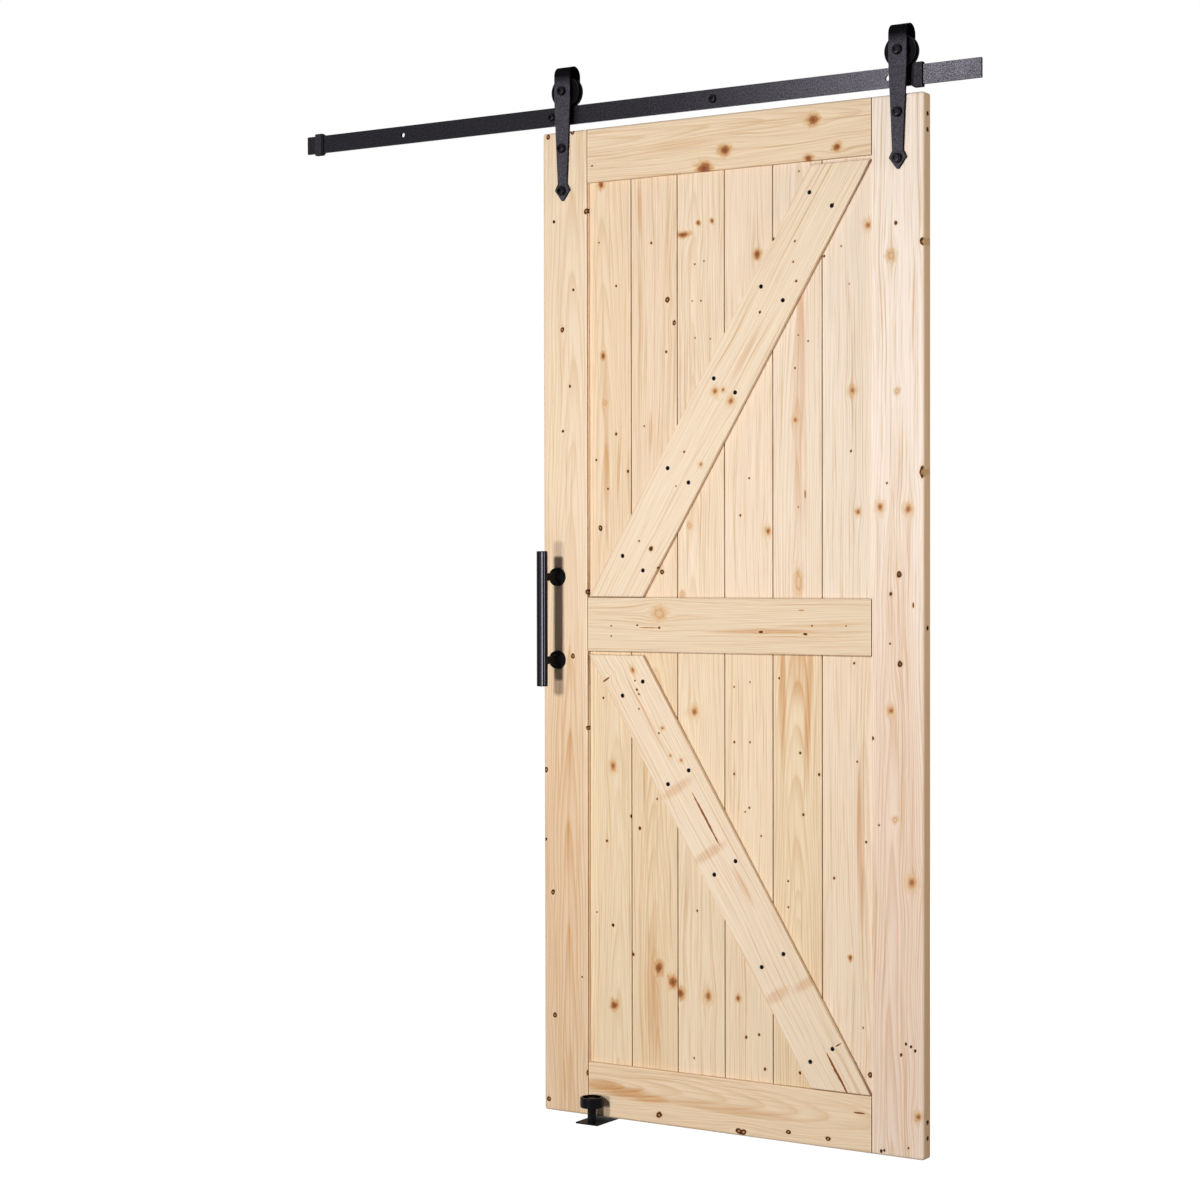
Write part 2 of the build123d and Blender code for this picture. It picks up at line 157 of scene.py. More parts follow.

# From the dark line of a joint, partly painted shadow in its groove, past the painted highlight of the bevel
# beside it, to the open face, which the last stop darkens
FACE_SHADE = 0.88
JOINT_PAINTED_LIGHT = ((0.0, linear("#806A52")), (0.16, linear("#8A7359")), (0.26, grey(0.92)), (0.34, grey(1.0)),
               (0.55, grey(1.0)), (0.75, grey(FACE_SHADE)))

# How far into the frame its joints' painted shadow and highlight show, as a share of the recess: at both
# faces and not between them
JOINT_DEPTH = ((0.0, grey(1.0)), (0.20, grey(1.0)), (0.28, grey(0.0)), (0.86, grey(0.0)), (0.94, grey(1.0)))

# Each board of the leaf: the colour of its early wood, paler on the right stile and the upper planks partly
# as painted light, its ring width in mm, how strong its figure is, and where the tree's heart lies: across
# from the board's middle, behind its face, and how far the heart falls back for each metre along the board,
# all in mm
BOARDS = {
    "left_stile": ("#F4DDC0", 4.6, 0.60, (-14, 46, 22)),
    "right_stile": ("#FFEFE0", 4.4, 0.36, (10, 38, 18)),
    "top_rail": ("#F2DABB", 4.2, 0.65, (30, 30, 34)),
    "middle_rail": ("#ECD6B9", 4.0, 0.55, (70, 24, 20)),
    "bottom_rail": ("#F2D8B8", 5.0, 0.65, (14, 34, 60)),
    "upper_brace": ("#F5E0C5", 4.8, 0.50, (-80, 20, 12)),
    "lower_brace": ("#F5E0C6", 5.2, 0.55, (75, 20, 14)),
    "upper_plank_1": ("#F3DABB", 4.4, 0.65, (16, 28, 30)),
    "upper_plank_2": ("#F5DDC1", 4.0, 0.60, (-60, 20, 16)),
    "upper_plank_3": ("#F5DFC4", 4.6, 0.50, (24, 40, 36)),
    "upper_plank_4": ("#F7E1C8", 3.8, 0.45, (-90, 22, 14)),
    "upper_plank_5": ("#F6E2CC", 4.8, 0.65, (4, 22, 24)),
    "upper_plank_6": ("#F8E6D2", 4.2, 0.45, (80, 26, 12)),
    "lower_plank_1": ("#F0D9B8", 4.4, 0.60, (-20, 34, 34)),
    "lower_plank_2": ("#EFD6B4", 4.6, 0.80, (0, 30, 52)),
    "lower_plank_3": ("#F3DDBF", 4.0, 0.55, (40, 26, 20)),
    "lower_plank_4": ("#F4DDBF", 3.8, 0.50, (-70, 24, 14)),
    "lower_plank_5": ("#F1D9B7", 5.4, 0.85, (4, 26, 56)),
    "lower_plank_6": ("#F6E0C6", 4.4, 0.60, (-36, 24, 22)),
}

# Kinds of knot: how dark the rim is, the eye's share of that, and how strong the stain round it is
KNOT_KINDS = {
    "ring": (1.00, 0.44, 0.10),
    "pin": (1.00, 1.00, 0.08),
    "red": (0.50, 1.30, 0.28),
    "tan": (0.25, 2.00, 0.16),
    "dead": (0.95, 0.75, 0.12),
    "star": (0.82, 1.10, 0.17),
    "pale": (0.26, 0.60, 0.20),
    "line": (0.42, 1.00, 0.06),
    "split": (0.66, 1.00, 0.08),
}

# The knots of each board: x and z on the leaf, radius in mm, and kind.  A fifth number is how many times
# longer than wide it is: a long one runs with the grain, and one below 1 lies across it
KNOTS = {
    "left_stile": [
        (15, 2126, 5, "ring"), (78, 2130, 5, "ring"), (30, 1940, 3, "pin"), (80, 1789, 3, "pin"),
        (51, 1704, 5, "ring"), (114, 1957, 5, "ring"), (71, 1581, 3, "pin"), (53, 1484, 3, "pin"),
        (115, 1134, 5, "ring"), (78, 995, 5, "ring"), (7, 745, 5, "ring"), (6, 593, 3, "pin"),
        (24, 478, 5, "ring"), (29, 209, 5, "ring"), (13, 24, 5, "ring"), (100, 299, 2, "star"),
        (115, 840, 4, "ring"), (115, 92, 5, "ring"),
    ],
    "right_stile": [
        (853, 1876, 3.4, "star"), (842, 1811, 8, "pale"), (912, 1835, 6, "ring"),
        (910, 1376, 5, "ring", 2.2), (856, 1540, 5, "pale"), (818, 1308, 8, "tan"), (880, 1303, 9, "tan"),
        (833, 1356, 2, "star"), (860, 1173, 5.5, "dead"), (842, 1133, 3.4, "star"),
        (891, 1111, 2, "split", 3), (840, 1033, 2, "star"), (862, 993, 5.5, "dead"), (842, 898, 8, "tan"),
        (801, 842, 3.4, "star"), (851, 679, 5, "pale"), (815, 667, 2, "star"), (888, 555, 11, "tan"),
        (875, 231, 3, "pin"), (886, 226, 3, "pin"), (895, 219, 3, "pin"), (864, 208, 2.7, "star"),
        (902, 87, 8, "tan"), (880, 22, 2, "star"), (820, 9, 3, "pin"), (827, 11, 2.5, "pin"),
    ],
    "top_rail": [
        (129, 2053, 2, "pin"), (459, 2057, 9, "red"), (409, 2023, 12, "red"), (666, 2100, 9, "red"),
        (721, 2040, 7, "red"), (655, 2022, 7, "red"),
    ],
    "middle_rail": [
        (297, 1090, 12, "pale", 1.2), (176, 1062, 2, "pin"), (176, 1040, 2, "pin"), (242, 1064, 2, "pin"),
        (297, 1059, 2.7, "star"), (270, 1059, 1.2, "line", 18), (544, 1053, 2.7, "star", 1.8),
        (647, 1050, 2.7, "star", 1.8), (663, 1067, 1.7, "star"), (741, 1068, 1.7, "star"),
        (638, 1099, 1.2, "line", 5),
    ],
    "bottom_rail": [
        (295, 21, 6, "ring"), (490, 10, 6, "ring"), (501, 9, 6, "ring"), (607, 22, 5, "ring"),
        (699, 19, 5, "ring"), (772, 80, 2, "split", 7),
    ],
    "upper_brace": [
        (712, 1925, 2, "star"), (624, 1856, 2, "star"), (620, 1814, 2, "star"), (627, 1774, 2.7, "star"),
        (542, 1715, 2.7, "star"), (435, 1556, 8, "tan"), (454, 1558, 5, "tan"), (473, 1534, 8, "tan"),
        (359, 1431, 2, "star"), (400, 1404, 4.5, "tan"), (339, 1359, 2, "star"), (247, 1244, 2, "star"),
        (277, 1227, 4.1, "star"), (573, 1864, 2.7, "star"), (294, 1186, 2.7, "star"),
    ],
    "lower_brace": [
        (163, 946, 11, "split", 0.18), (231, 968, 5.5, "tan", 1.6), (236, 945, 2, "star"),
        (241, 926, 2, "star"), (246, 917, 2, "star"), (246, 885, 2, "star"), (304, 846, 4.5, "tan"),
        (296, 835, 2, "star"), (324, 788, 3.5, "tan"), (351, 780, 4, "tan"), (412, 657, 2.4, "split", 25),
        (722, 152, 2.8, "split", 17), (722, 213, 8, "split", 0.2),
    ],
    "upper_plank_1": [
        (146, 2012, 6, "red"), (140, 1888, 2, "pin"), (184, 1792, 2.4, "star"), (150, 1644, 5, "red", 1.4),
        (155, 1542, 5, "pale"), (183, 1474, 2.7, "star"), (132, 1420, 2.7, "star"),
        (213, 1394, 2.7, "star"), (162, 1357, 2.7, "star"), (142, 1273, 5, "ring"),
    ],
    "upper_plank_2": [
        (272, 1878, 2.7, "star"), (312, 1755, 5, "ring"), (329, 1705, 4.5, "ring"),
        (309, 1645, 2.7, "star"), (254, 1489, 2, "star"), (298, 1178, 5, "ring"),
    ],
    "upper_plank_3": [
        (350, 1890, 12, "red", 0.4), (388, 1912, 3.6, "red"), (422, 1914, 3.6, "red"),
        (380, 1826, 1.7, "star"), (402, 1831, 1.7, "star"), (373, 1749, 1.7, "star"),
        (395, 1748, 1.7, "star"), (380, 1671, 1.7, "star"), (417, 1667, 1.7, "star"),
        (365, 1275, 5, "pale"), (348, 1131, 5, "pale"),
    ],
    "upper_plank_4": [
        (530, 1837, 7, "red"), (510, 1373, 2, "star"), (489, 1296, 2, "star"), (555, 1262, 8, "tan"),
    ],
    "upper_plank_5": [
        (619, 1490, 6, "tan"), (642, 1338, 2, "line", 4), (626, 1157, 7, "pale", 3),
        (628, 2000, 1.7, "star"), (626, 1664, 1.7, "star"), (649, 1651, 1.7, "star"),
        (619, 1597, 1.7, "star"), (626, 1311, 1.7, "star"),
    ],
    "upper_plank_6": [
        (786, 1878, 8, "tan"), (725, 1840, 2, "star"), (743, 1762, 1.7, "star"), (750, 1546, 8, "tan"),
        (747, 1423, 2, "star"), (763, 1299, 7, "tan"), (686, 1822, 2.7, "star"),
    ],
    "lower_plank_1": [
        (174, 760, 9, "tan", 1.4), (149, 906, 2, "star"), (158, 597, 2.7, "star"), (220, 654, 3.4, "star"),
        (132, 441, 2, "star"), (173, 416, 3.5, "pin"), (176, 243, 7.5, "red"),
    ],
    "lower_plank_2": [
        (242, 629, 3.4, "star"), (285, 694, 2, "star"), (289, 333, 8, "red", 1.4), (324, 306, 9, "red"),
        (224, 357, 3.4, "star"),
    ],
    "lower_plank_3": [
        (377, 882, 10, "tan"), (342, 284, 8, "red"), (410, 284, 11, "tan"), (384, 462, 2, "star"),
        (376, 149, 2, "star"),
    ],
    "lower_plank_4": [
        (474, 937, 2, "star"), (474, 822, 2, "star"), (474, 755, 2, "star"), (512, 948, 1.7, "star"),
        (512, 823, 1.7, "star"), (510, 686, 2, "star"), (500, 677, 1.7, "star"), (538, 629, 2, "star"),
        (483, 286, 4.5, "red"), (533, 214, 2.7, "star"), (502, 206, 2.7, "star"), (547, 144, 2.7, "star"),
    ],
    "lower_plank_5": [
        (581, 958, 2, "star"), (630, 805, 2.4, "star"), (674, 762, 2.7, "star"), (637, 678, 2.7, "star"),
        (602, 539, 2, "star"), (602, 485, 2, "star"), (629, 145, 2.7, "star"),
    ],
    "lower_plank_6": [
        (754, 992, 2.7, "star"), (761, 792, 2, "star"), (781, 630, 2, "star"), (708, 552, 2.7, "star"),
        (745, 392, 4, "red"), (774, 252, 2, "star"), (790, 158, 5, "ring"),
    ],
}

# Heart wood that stains a board: x and z of its middle, half its length along the grain and half its
# width across it in mm, and its strength from 0 to 1
STREAKS = {
    "left_stile": [(58, 430, 900, 90, 0.46), (72, 550, 700, 5, 0.8), (54, 70, 90, 8, 0.7)],
    "right_stile": [(853, 1385, 130, 22, 0.25), (856, 500, 1000, 110, 0.46)],
    "top_rail": [(343, 2070, 120, 18, 0.3)],
    "middle_rail": [(548, 1056, 175, 5, 0.8)],
    "bottom_rail": [(150, 70, 70, 16, 1.0), (210, 62, 80, 15, 1.0), (272, 52, 70, 11, 0.9),
                    (460, 54, 220, 12, 0.5)],
    "upper_brace": [(508, 1633, 85, 9, 0.5)],
    "lower_brace": [(341, 720, 14, 52, 0.5), (419, 587, 14, 52, 0.5), (583, 303, 16, 40, 0.5),
                    (646, 331, 14, 40, 0.5), (262, 881, 140, 4, 0.7), (492, 520, 60, 8, 0.6)],
    "upper_plank_1": [(153, 1410, 240, 8, 0.65), (183, 1400, 90, 5, 0.6)],
    "upper_plank_2": [(276, 1476, 55, 8, 0.55), (245, 1950, 70, 7, 0.5)],
    "upper_plank_5": [(626, 1570, 470, 15, 0.45)],
    "lower_plank_2": [(274, 260, 190, 26, 0.5)],
    "lower_plank_5": [(592, 920, 190, 9, 0.8), (648, 900, 200, 11, 0.9), (625, 970, 80, 26, 0.5)],
    "lower_plank_6": [(772, 620, 210, 11, 0.75)],
}

# The black finishes: colour, roughness, size and depth of the grain in mm, strength of the gloss, and the
# share of colour that painted shade takes from sides and bends.  None stands for what the settings say
FINISHES = {
    # Track and standoffs: a gritty coat that turns grey where a lamp glances off it, with painted shade on
    # its sides and bends.  The real grain is too fine to show, so it is drawn coarser
    "Textured_powder_coat_on_steel": (None, 0.29, None, 0.18, 0.18, 0.9),
    # Hanger straps and stops: the same coat seen square on, given a lighter dark grey than the track as
    # painted light, and black sides from painted shade
    "Textured_powder_coat_on_strap": ("#46434A", 0.45, None, 0.15, 0.06, 0.85),
    "Textured_powder_coat_on_stops": ("#37343A", 0.45, None, 0.15, 0.05, 0.85),
    # Bolts and axles: black, with small glints in their sockets
    "Black_oxide_bolt_steel": ("#060607", 0.30, 0.7, 0.01, 0.16, 0.0),
    # Pull: a smooth coat, with one sharp streak of light along the bar and dull posts
    "Satin_powder_coat_on_steel": ("#050506", 0.15, 0.8, 0.0, 0.10, 0.0),
    "Satin_powder_coat_on_posts": ("#0A0909", 0.34, 0.8, 0.0, 0.04, 0.0),
    # Wheels: dull plastic, almost without a highlight
    "Black_nylon_wheel": ("#09090B", 0.50, 1.0, 0.04, 0.04, 0.0),
    # Guide: a shinier moulded roller on a painted plate and post
    "Moulded_black_nylon": ("#070708", 0.30, 1.0, 0.02, 0.07, 0.0),
    "Black_paint_on_guide_steel": ("#0E0D0D", 0.40, 1.2, 0.03, 0.06, 0.0),
    # Bumpers: soft matt black
    "Black_rubber": ("#121213", 0.70, 0.8, 0.08, 0.15, 0.0),
    # Brace screws, frame bolts and pull bolts: dull black steel
    "Black_phosphate_screw_steel": ("#0C0C0C", 0.5, 0.5, 0.03, 0.15, 0.0),
    "Black_oxide_frame_bolt_steel": ("#0E0D0D", 0.45, 0.6, 0.04, 0.15, 0.0),
    "Black_oxide_pull_bolt_steel": ("#0D0D0E", 0.42, 0.6, 0.04, 0.15, 0.0),
}

# The finish of each material slot, and of the nodes that differ from their slot
SLOT_FINISHES = {
    "black_steel": "Textured_powder_coat_on_steel",
    "black_bolts": "Black_oxide_bolt_steel",
    "handle_black": "Satin_powder_coat_on_steel",
    "wheel_black": "Black_nylon_wheel",
    "roller_black": "Moulded_black_nylon",
    "bumper_rubber": "Black_rubber",
}
STRAP_FINISH = "Textured_powder_coat_on_strap"
NODE_FINISHES = {
    "left_hanger": STRAP_FINISH,
    "right_hanger": STRAP_FINISH,
    "left_stop": "Textured_powder_coat_on_stops",
    "right_stop": "Textured_powder_coat_on_stops",
    "handle_upper_post": "Satin_powder_coat_on_posts",
    "handle_lower_post": "Satin_powder_coat_on_posts",
    "guide_plate": "Black_paint_on_guide_steel",
    "guide_post": "Black_paint_on_guide_steel",
}

# The studio's lamps: degrees to the right of square to the door, degrees up, distance, width and height in
# metres, power in watts, and the pieces in whose gloss alone a lamp shows: with none it lights everything
LAMPS = {
    "high_key": (-8, 14, 3.5, 0.40, 0.40, 73, ()),
    "low_key": (-8, -14, 3.5, 0.40, 0.40, 42, ()),
    "edge_strip": (84, 8, 3.0, 0.50, 2.00, 33, ()),
    "back_lamp": (-150, 22, 4.0, 1.20, 1.20, 125, ()),
    "pull_strip": (25, 0, 3.0, 1.00, 2.40, 520, ("handle_bar",)),
    "pull_soft": (-10, 0, 3.0, 2.60, 1.20, 34, ("handle_bar",)),
    "bar_strip": (80, 0, 3.0, 0.80, 1.20, 75, ("handle_bar",)),
    "track_box": (-16, 31, 3.5, 0.60, 0.60, 44, ("track_rail",)),
}


class BARNDOOR_PG_wood(bpy.types.PropertyGroup):
    """What a user would change on the boards."""

    late_wood: FloatVectorProperty(name="Late wood", description="Colour of the dark half of each ring",
                                   subtype="COLOR", size=4, min=0.0, max=1.0, default=linear("#D3AA78"))
    heart_wood: FloatVectorProperty(name="Heart wood", description="Colour of the stained streaks",
                                    subtype="COLOR", size=4, min=0.0, max=1.0, default=linear("#CB8D4C"))
    edge_wood: FloatVectorProperty(name="Edge wood", description="Colour of the stiles' outer edges",
                                   subtype="COLOR", size=4, min=0.0, max=1.0, default=linear("#DDB382"))
    # Painted shade on the walls of rails and braces, darkest where they meet the planks
    joint: FloatVectorProperty(name="Joint", description="Colour in the joint beside a rail or brace",
                               subtype="COLOR", size=4, min=0.0, max=1.0, default=linear("#8A6538"))
    roughness: FloatProperty(name="Roughness", description="Roughness of the planed faces",
                             min=0.0, max=1.0, subtype="FACTOR", default=0.58)
    fibre: FloatProperty(name="Fibre width", description="Width of the fibre streaks, in millimetres",
                         min=0.2, max=10.0, default=1.6)


class BARNDOOR_PG_hardware(bpy.types.PropertyGroup):
    """What a user would change on the black hardware."""

    coat: FloatVectorProperty(name="Coat", description="Colour of the powder coat",
                              subtype="COLOR", size=4, min=0.0, max=1.0, default=linear("#17161A"))
    coat_grain: FloatProperty(name="Coat grain", description="Size of the coat's grain, in millimetres",
                              min=0.1, max=5.0, default=2.7)
    screw_head: FloatProperty(name="Screw head", description="Diameter of the brace screws' heads",
                              min=0.002, max=0.03, unit="LENGTH", default=0.0095)
    bolt_head: FloatProperty(name="Frame bolt head", description="Diameter of the sunk frame bolts' heads",
                             min=0.002, max=0.03, unit="LENGTH", default=0.0106)
    bolt_sink: FloatProperty(name="Frame bolt depth", description="How deep the frame bolts' heads lie",
                             min=0.0, max=0.03, unit="LENGTH", default=0.0015)
    pull_head: FloatProperty(name="Pull bolt head", description="Diameter of the pull's bolt heads",
                             min=0.002, max=0.03, unit="LENGTH", default=0.014)


class BARNDOOR_PG_stage(bpy.types.PropertyGroup):
    """What a user would change in the studio."""

    power: FloatProperty(name="Lamp power", description="Share of their power that the lamps run at",
                         min=0.0, max=4.0, subtype="FACTOR", default=1.0)
    fill: FloatProperty(name="Fill", description="Strength of the light from all round",
                        min=0.0, default=0.12)
    background: FloatVectorProperty(name="Background", description="Colour behind the door", subtype="COLOR",
                                    size=4, min=0.0, max=1.0, default=(1.0, 1.0, 1.0, 1.0))


def add(tree, kind, sockets=None, stops=(), **settings):
    """Add one node with its settings, its ramp's stops, and the values or links of its sockets."""
    node = tree.nodes.new(kind)
    for name, value in settings.items():
        setattr(node, name, value)
    for number, (position, colour) in enumerate(stops):
        elements = node.color_ramp.elements
        stop = elements[number] if number < 2 else elements.new(position)
        stop.position = position
        stop.color = colour
    for name, value in (sockets or {}).items():
        if isinstance(value, bpy.types.NodeSocket):
            tree.links.new(value, node.inputs[name])
        else:
            node.inputs[name].default_value = value
    return node


def new_material(name):
    """An empty material and its node tree."""
    material = bpy.data.materials.new(name)
    material.use_nodes = True
    material.node_tree.nodes.clear()
    return material, material.node_tree


def new_group(name, takes, gives):
    """An empty node group with its sockets: returns its tree, its inputs and its output node."""
    tree = bpy.data.node_groups.new(name, "ShaderNodeTree")
    for label, kind in takes.items():
        tree.interface.new_socket(label, in_out="INPUT", socket_type=kind)
    for label, kind in gives.items():
        tree.interface.new_socket(label, in_out="OUTPUT", socket_type=kind)
    return tree, tree.nodes.new("NodeGroupInput").outputs, tree.nodes.new("NodeGroupOutput")


def knot_group():
    """One knot: a dark rim round a paler eye, with a stain beyond it, that turns the grain aside."""
    tree, takes, gives = new_group(
        "Spruce_knot",
        {"Place": VECTOR, "Centre": VECTOR, "Size": VECTOR, "Dark": NUMBER, "Eye": NUMBER, "Halo": NUMBER,
         "Ragged": NUMBER, "Shift": NUMBER, "Tone": NUMBER},
        {"Shift": NUMBER, "Tone": NUMBER})

    # Distances are shares of the knot's size
    offset = add(tree, "ShaderNodeVectorMath", {0: takes["Place"], 1: takes["Centre"]},
                 operation="SUBTRACT").outputs[0]
    share = add(tree, "ShaderNodeVectorMath", {0: offset, 1: takes["Size"]}, operation="DIVIDE").outputs[0]
    reach = add(tree, "ShaderNodeVectorMath", {0: share}, operation="LENGTH").outputs["Value"]
    ragged = add(tree, "ShaderNodeMath", {0: reach, 1: takes["Ragged"]}, operation="MULTIPLY").outputs[0]
    outside_eye = add(tree, "ShaderNodeMapRange", {"Value": ragged, "From Min": 0.30, "From Max": 0.62,
                                                   "To Min": takes["Eye"], "To Max": 1.0}).outputs[0]
    inside_rim = add(tree, "ShaderNodeMapRange",
                     {"Value": ragged, "From Min": 1.15, "From Max": 0.88}).outputs[0]
    disc = add(tree, "ShaderNodeMath", {0: outside_eye, 1: inside_rim}, operation="MULTIPLY").outputs[0]
    core = add(tree, "ShaderNodeMath", {0: disc, 1: takes["Dark"]}, operation="MULTIPLY").outputs[0]
    halo = add(tree, "ShaderNodeMapRange",
               {"Value": ragged, "From Min": 2.7, "From Max": 1.0, "To Max": takes["Halo"]},
               interpolation_type="SMOOTHSTEP").outputs[0]
    tone = add(tree, "ShaderNodeMath", {0: core, 1: halo}, operation="MAXIMUM").outputs[0]
    darkest = add(tree, "ShaderNodeMath", {0: tone, 1: takes["Tone"]}, operation="MAXIMUM").outputs[0]
    tree.links.new(darkest, gives.inputs["Tone"])

    # The grain is pushed away to both sides, most of all beside the knot
    long = add(tree, "ShaderNodeVectorMath", {0: share, 1: (0.42, 0.0, 0.8)}, operation="MULTIPLY").outputs[0]
    square = add(tree, "ShaderNodeVectorMath", {0: long, 1: long}, operation="DOT_PRODUCT").outputs["Value"]
    ease = add(tree, "ShaderNodeMath", {0: square, 1: 0.7}, operation="ADD").outputs[0]
    across = add(tree, "ShaderNodeSeparateXYZ", {0: offset}).outputs["Z"]
    push = add(tree, "ShaderNodeMath", {0: across, 1: ease}, operation="DIVIDE").outputs[0]
    shift = add(tree, "ShaderNodeMath", {0: push, 1: takes["Shift"]}, operation="ADD").outputs[0]
    tree.links.new(shift, gives.inputs["Shift"])
    return tree


def streak_group():
    """One stain of heart wood, soft at its sides and drawn out along the grain."""
    tree, takes, gives = new_group(
        "Spruce_streak",
        {"Place": VECTOR, "Centre": VECTOR, "Size": VECTOR, "Strength": NUMBER, "Heart": NUMBER},
        {"Heart": NUMBER})
    offset = add(tree, "ShaderNodeVectorMath", {0: takes["Place"], 1: takes["Centre"]},
                 operation="SUBTRACT").outputs[0]
    share = add(tree, "ShaderNodeVectorMath", {0: offset, 1: takes["Size"]}, operation="DIVIDE").outputs[0]
    reach = add(tree, "ShaderNodeVectorMath", {0: share}, operation="LENGTH").outputs["Value"]
    fade = add(tree, "ShaderNodeMapRange", {"Value": reach, "From Min": 1.1, "From Max": 0.3},
               interpolation_type="SMOOTHSTEP").outputs[0]
    stain = add(tree, "ShaderNodeMath", {0: fade, 1: takes["Strength"]}, operation="MULTIPLY").outputs[0]
    most = add(tree, "ShaderNodeMath", {0: stain, 1: takes["Heart"]}, operation="MAXIMUM").outputs[0]
    tree.links.new(most, gives.inputs["Heart"])
    return tree


def brace_slope(node):
    """The angle of a brace to the level, from its box and its width."""
    low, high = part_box(node)
    span, rise = high.x - low.x, high.z - low.z
    return atan2(rise, span) + asin(BOARD_WIDTH / hypot(span, rise))


GRAIN = {name: 0.0 if name.endswith("rail") else pi / 2 for name in BOARDS}
GRAIN["upper_brace"] = brace_slope("upper_brace")
GRAIN["lower_brace"] = pi - brace_slope("lower_brace")


def board_place(name, x, z):
    """A point of the leaf in a board's own terms: along its grain, into it, and across it, in mm."""
    low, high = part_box(name)
    middle = (low + high) / 2
    step = (on_leaf(x, z) - middle) / MM
    turn = GRAIN[name]
    return (step.x * cos(turn) + step.z * sin(turn), 0.0, step.z * cos(turn) - step.x * sin(turn))


def jointed(tree, name, where, axes, colour, look):
    """A board's colour with its joints' dark lines, partly painted shadow, painted highlights on their
    bevels, painted shade down the walls of rails and braces, and the browner outer edge of a stile.
    """
    half = BOARD_WIDTH / 2 / MM
    plank = "plank" in name
    if not name.endswith("brace"):
        first, pitch = PLANK_JOINTS if plank else FRAME_JOINTS
        # A joint's dark line is partly painted shadow in its groove, and the pale edge beside it is a painted
        # highlight
        along = add(tree, "ShaderNodeSeparateXYZ", {0: where}).outputs["X"]
        from_first = add(tree, "ShaderNodeMath", {0: along, 1: first}, operation="SUBTRACT").outputs[0]
        from_joint = add(tree, "ShaderNodeMath", {0: from_first, 1: pitch / 2},
                         operation="PINGPONG").outputs[0]
        share = add(tree, "ShaderNodeMath", {0: from_joint, 1: JOINT_REACH}, operation="DIVIDE").outputs[0]
        line = add(tree, "ShaderNodeValToRGB", {"Fac": share}, JOINT_PAINTED_LIGHT).outputs[0]
        shown = 1.0
        if not plank:
            depth = add(tree, "ShaderNodeMath", {0: axes["Y"], 1: RECESS}, operation="DIVIDE").outputs[0]
            shown = add(tree, "ShaderNodeValToRGB", {"Fac": depth}, JOINT_DEPTH).outputs[0]
        with_painted_joint = add(tree, "ShaderNodeMix", {MIX_FACTOR: shown, MIX_A: colour, MIX_B: line},
                    data_type="RGBA", blend_type="MULTIPLY").outputs[MIX_RESULT]
        colour = add(tree, "ShaderNodeMix", {MIX_FACTOR: 1.0, MIX_A: with_painted_joint, MIX_B: grey(1 / FACE_SHADE)},
                     data_type="RGBA", blend_type="MULTIPLY").outputs[MIX_RESULT]
    if plank:
        return colour

    # The last millimetres of a stile turn to the brown of its edge
    if name.endswith("stile"):
        outward = 1.0 if name == "left_stile" else -1.0
        out = add(tree, "ShaderNodeMath", {0: axes["Z"], 1: outward}, operation="MULTIPLY").outputs[0]
        edge = add(tree, "ShaderNodeMapRange", {"Value": out, "From Min": half - 3.5, "From Max": half - 0.5,
                                                "To Max": 0.8}).outputs[0]
        return add(tree, "ShaderNodeMix", {MIX_FACTOR: edge, MIX_A: colour, MIX_B: look.edge_wood},
                   data_type="RGBA").outputs[MIX_RESULT]

    # Painted shade: the walls of rails and braces darken down to the planks
    if name in INNER_SIDE:
        inward = add(tree, "ShaderNodeMath", {0: axes["Z"], 1: INNER_SIDE[name]},
                     operation="MULTIPLY").outputs[0]
    else:
        inward = add(tree, "ShaderNodeMath", {0: axes["Z"]}, operation="ABSOLUTE").outputs[0]
    wall = add(tree, "ShaderNodeMapRange",
               {"Value": inward, "From Min": half - 1.0, "From Max": half - 0.2}).outputs[0]
    deep_painted_shade = add(tree, "ShaderNodeMapRange",
               {"Value": axes["Y"], "From Min": RECESS * 0.7, "From Max": RECESS * 0.95,
                "To Min": 0.3, "To Max": 1.0}).outputs[0]
    dark = add(tree, "ShaderNodeMath", {0: wall, 1: deep_painted_shade}, operation="MULTIPLY").outputs[0]
    return add(tree, "ShaderNodeMix", {MIX_FACTOR: dark, MIX_A: colour, MIX_B: look.joint},
               data_type="RGBA").outputs[MIX_RESULT]


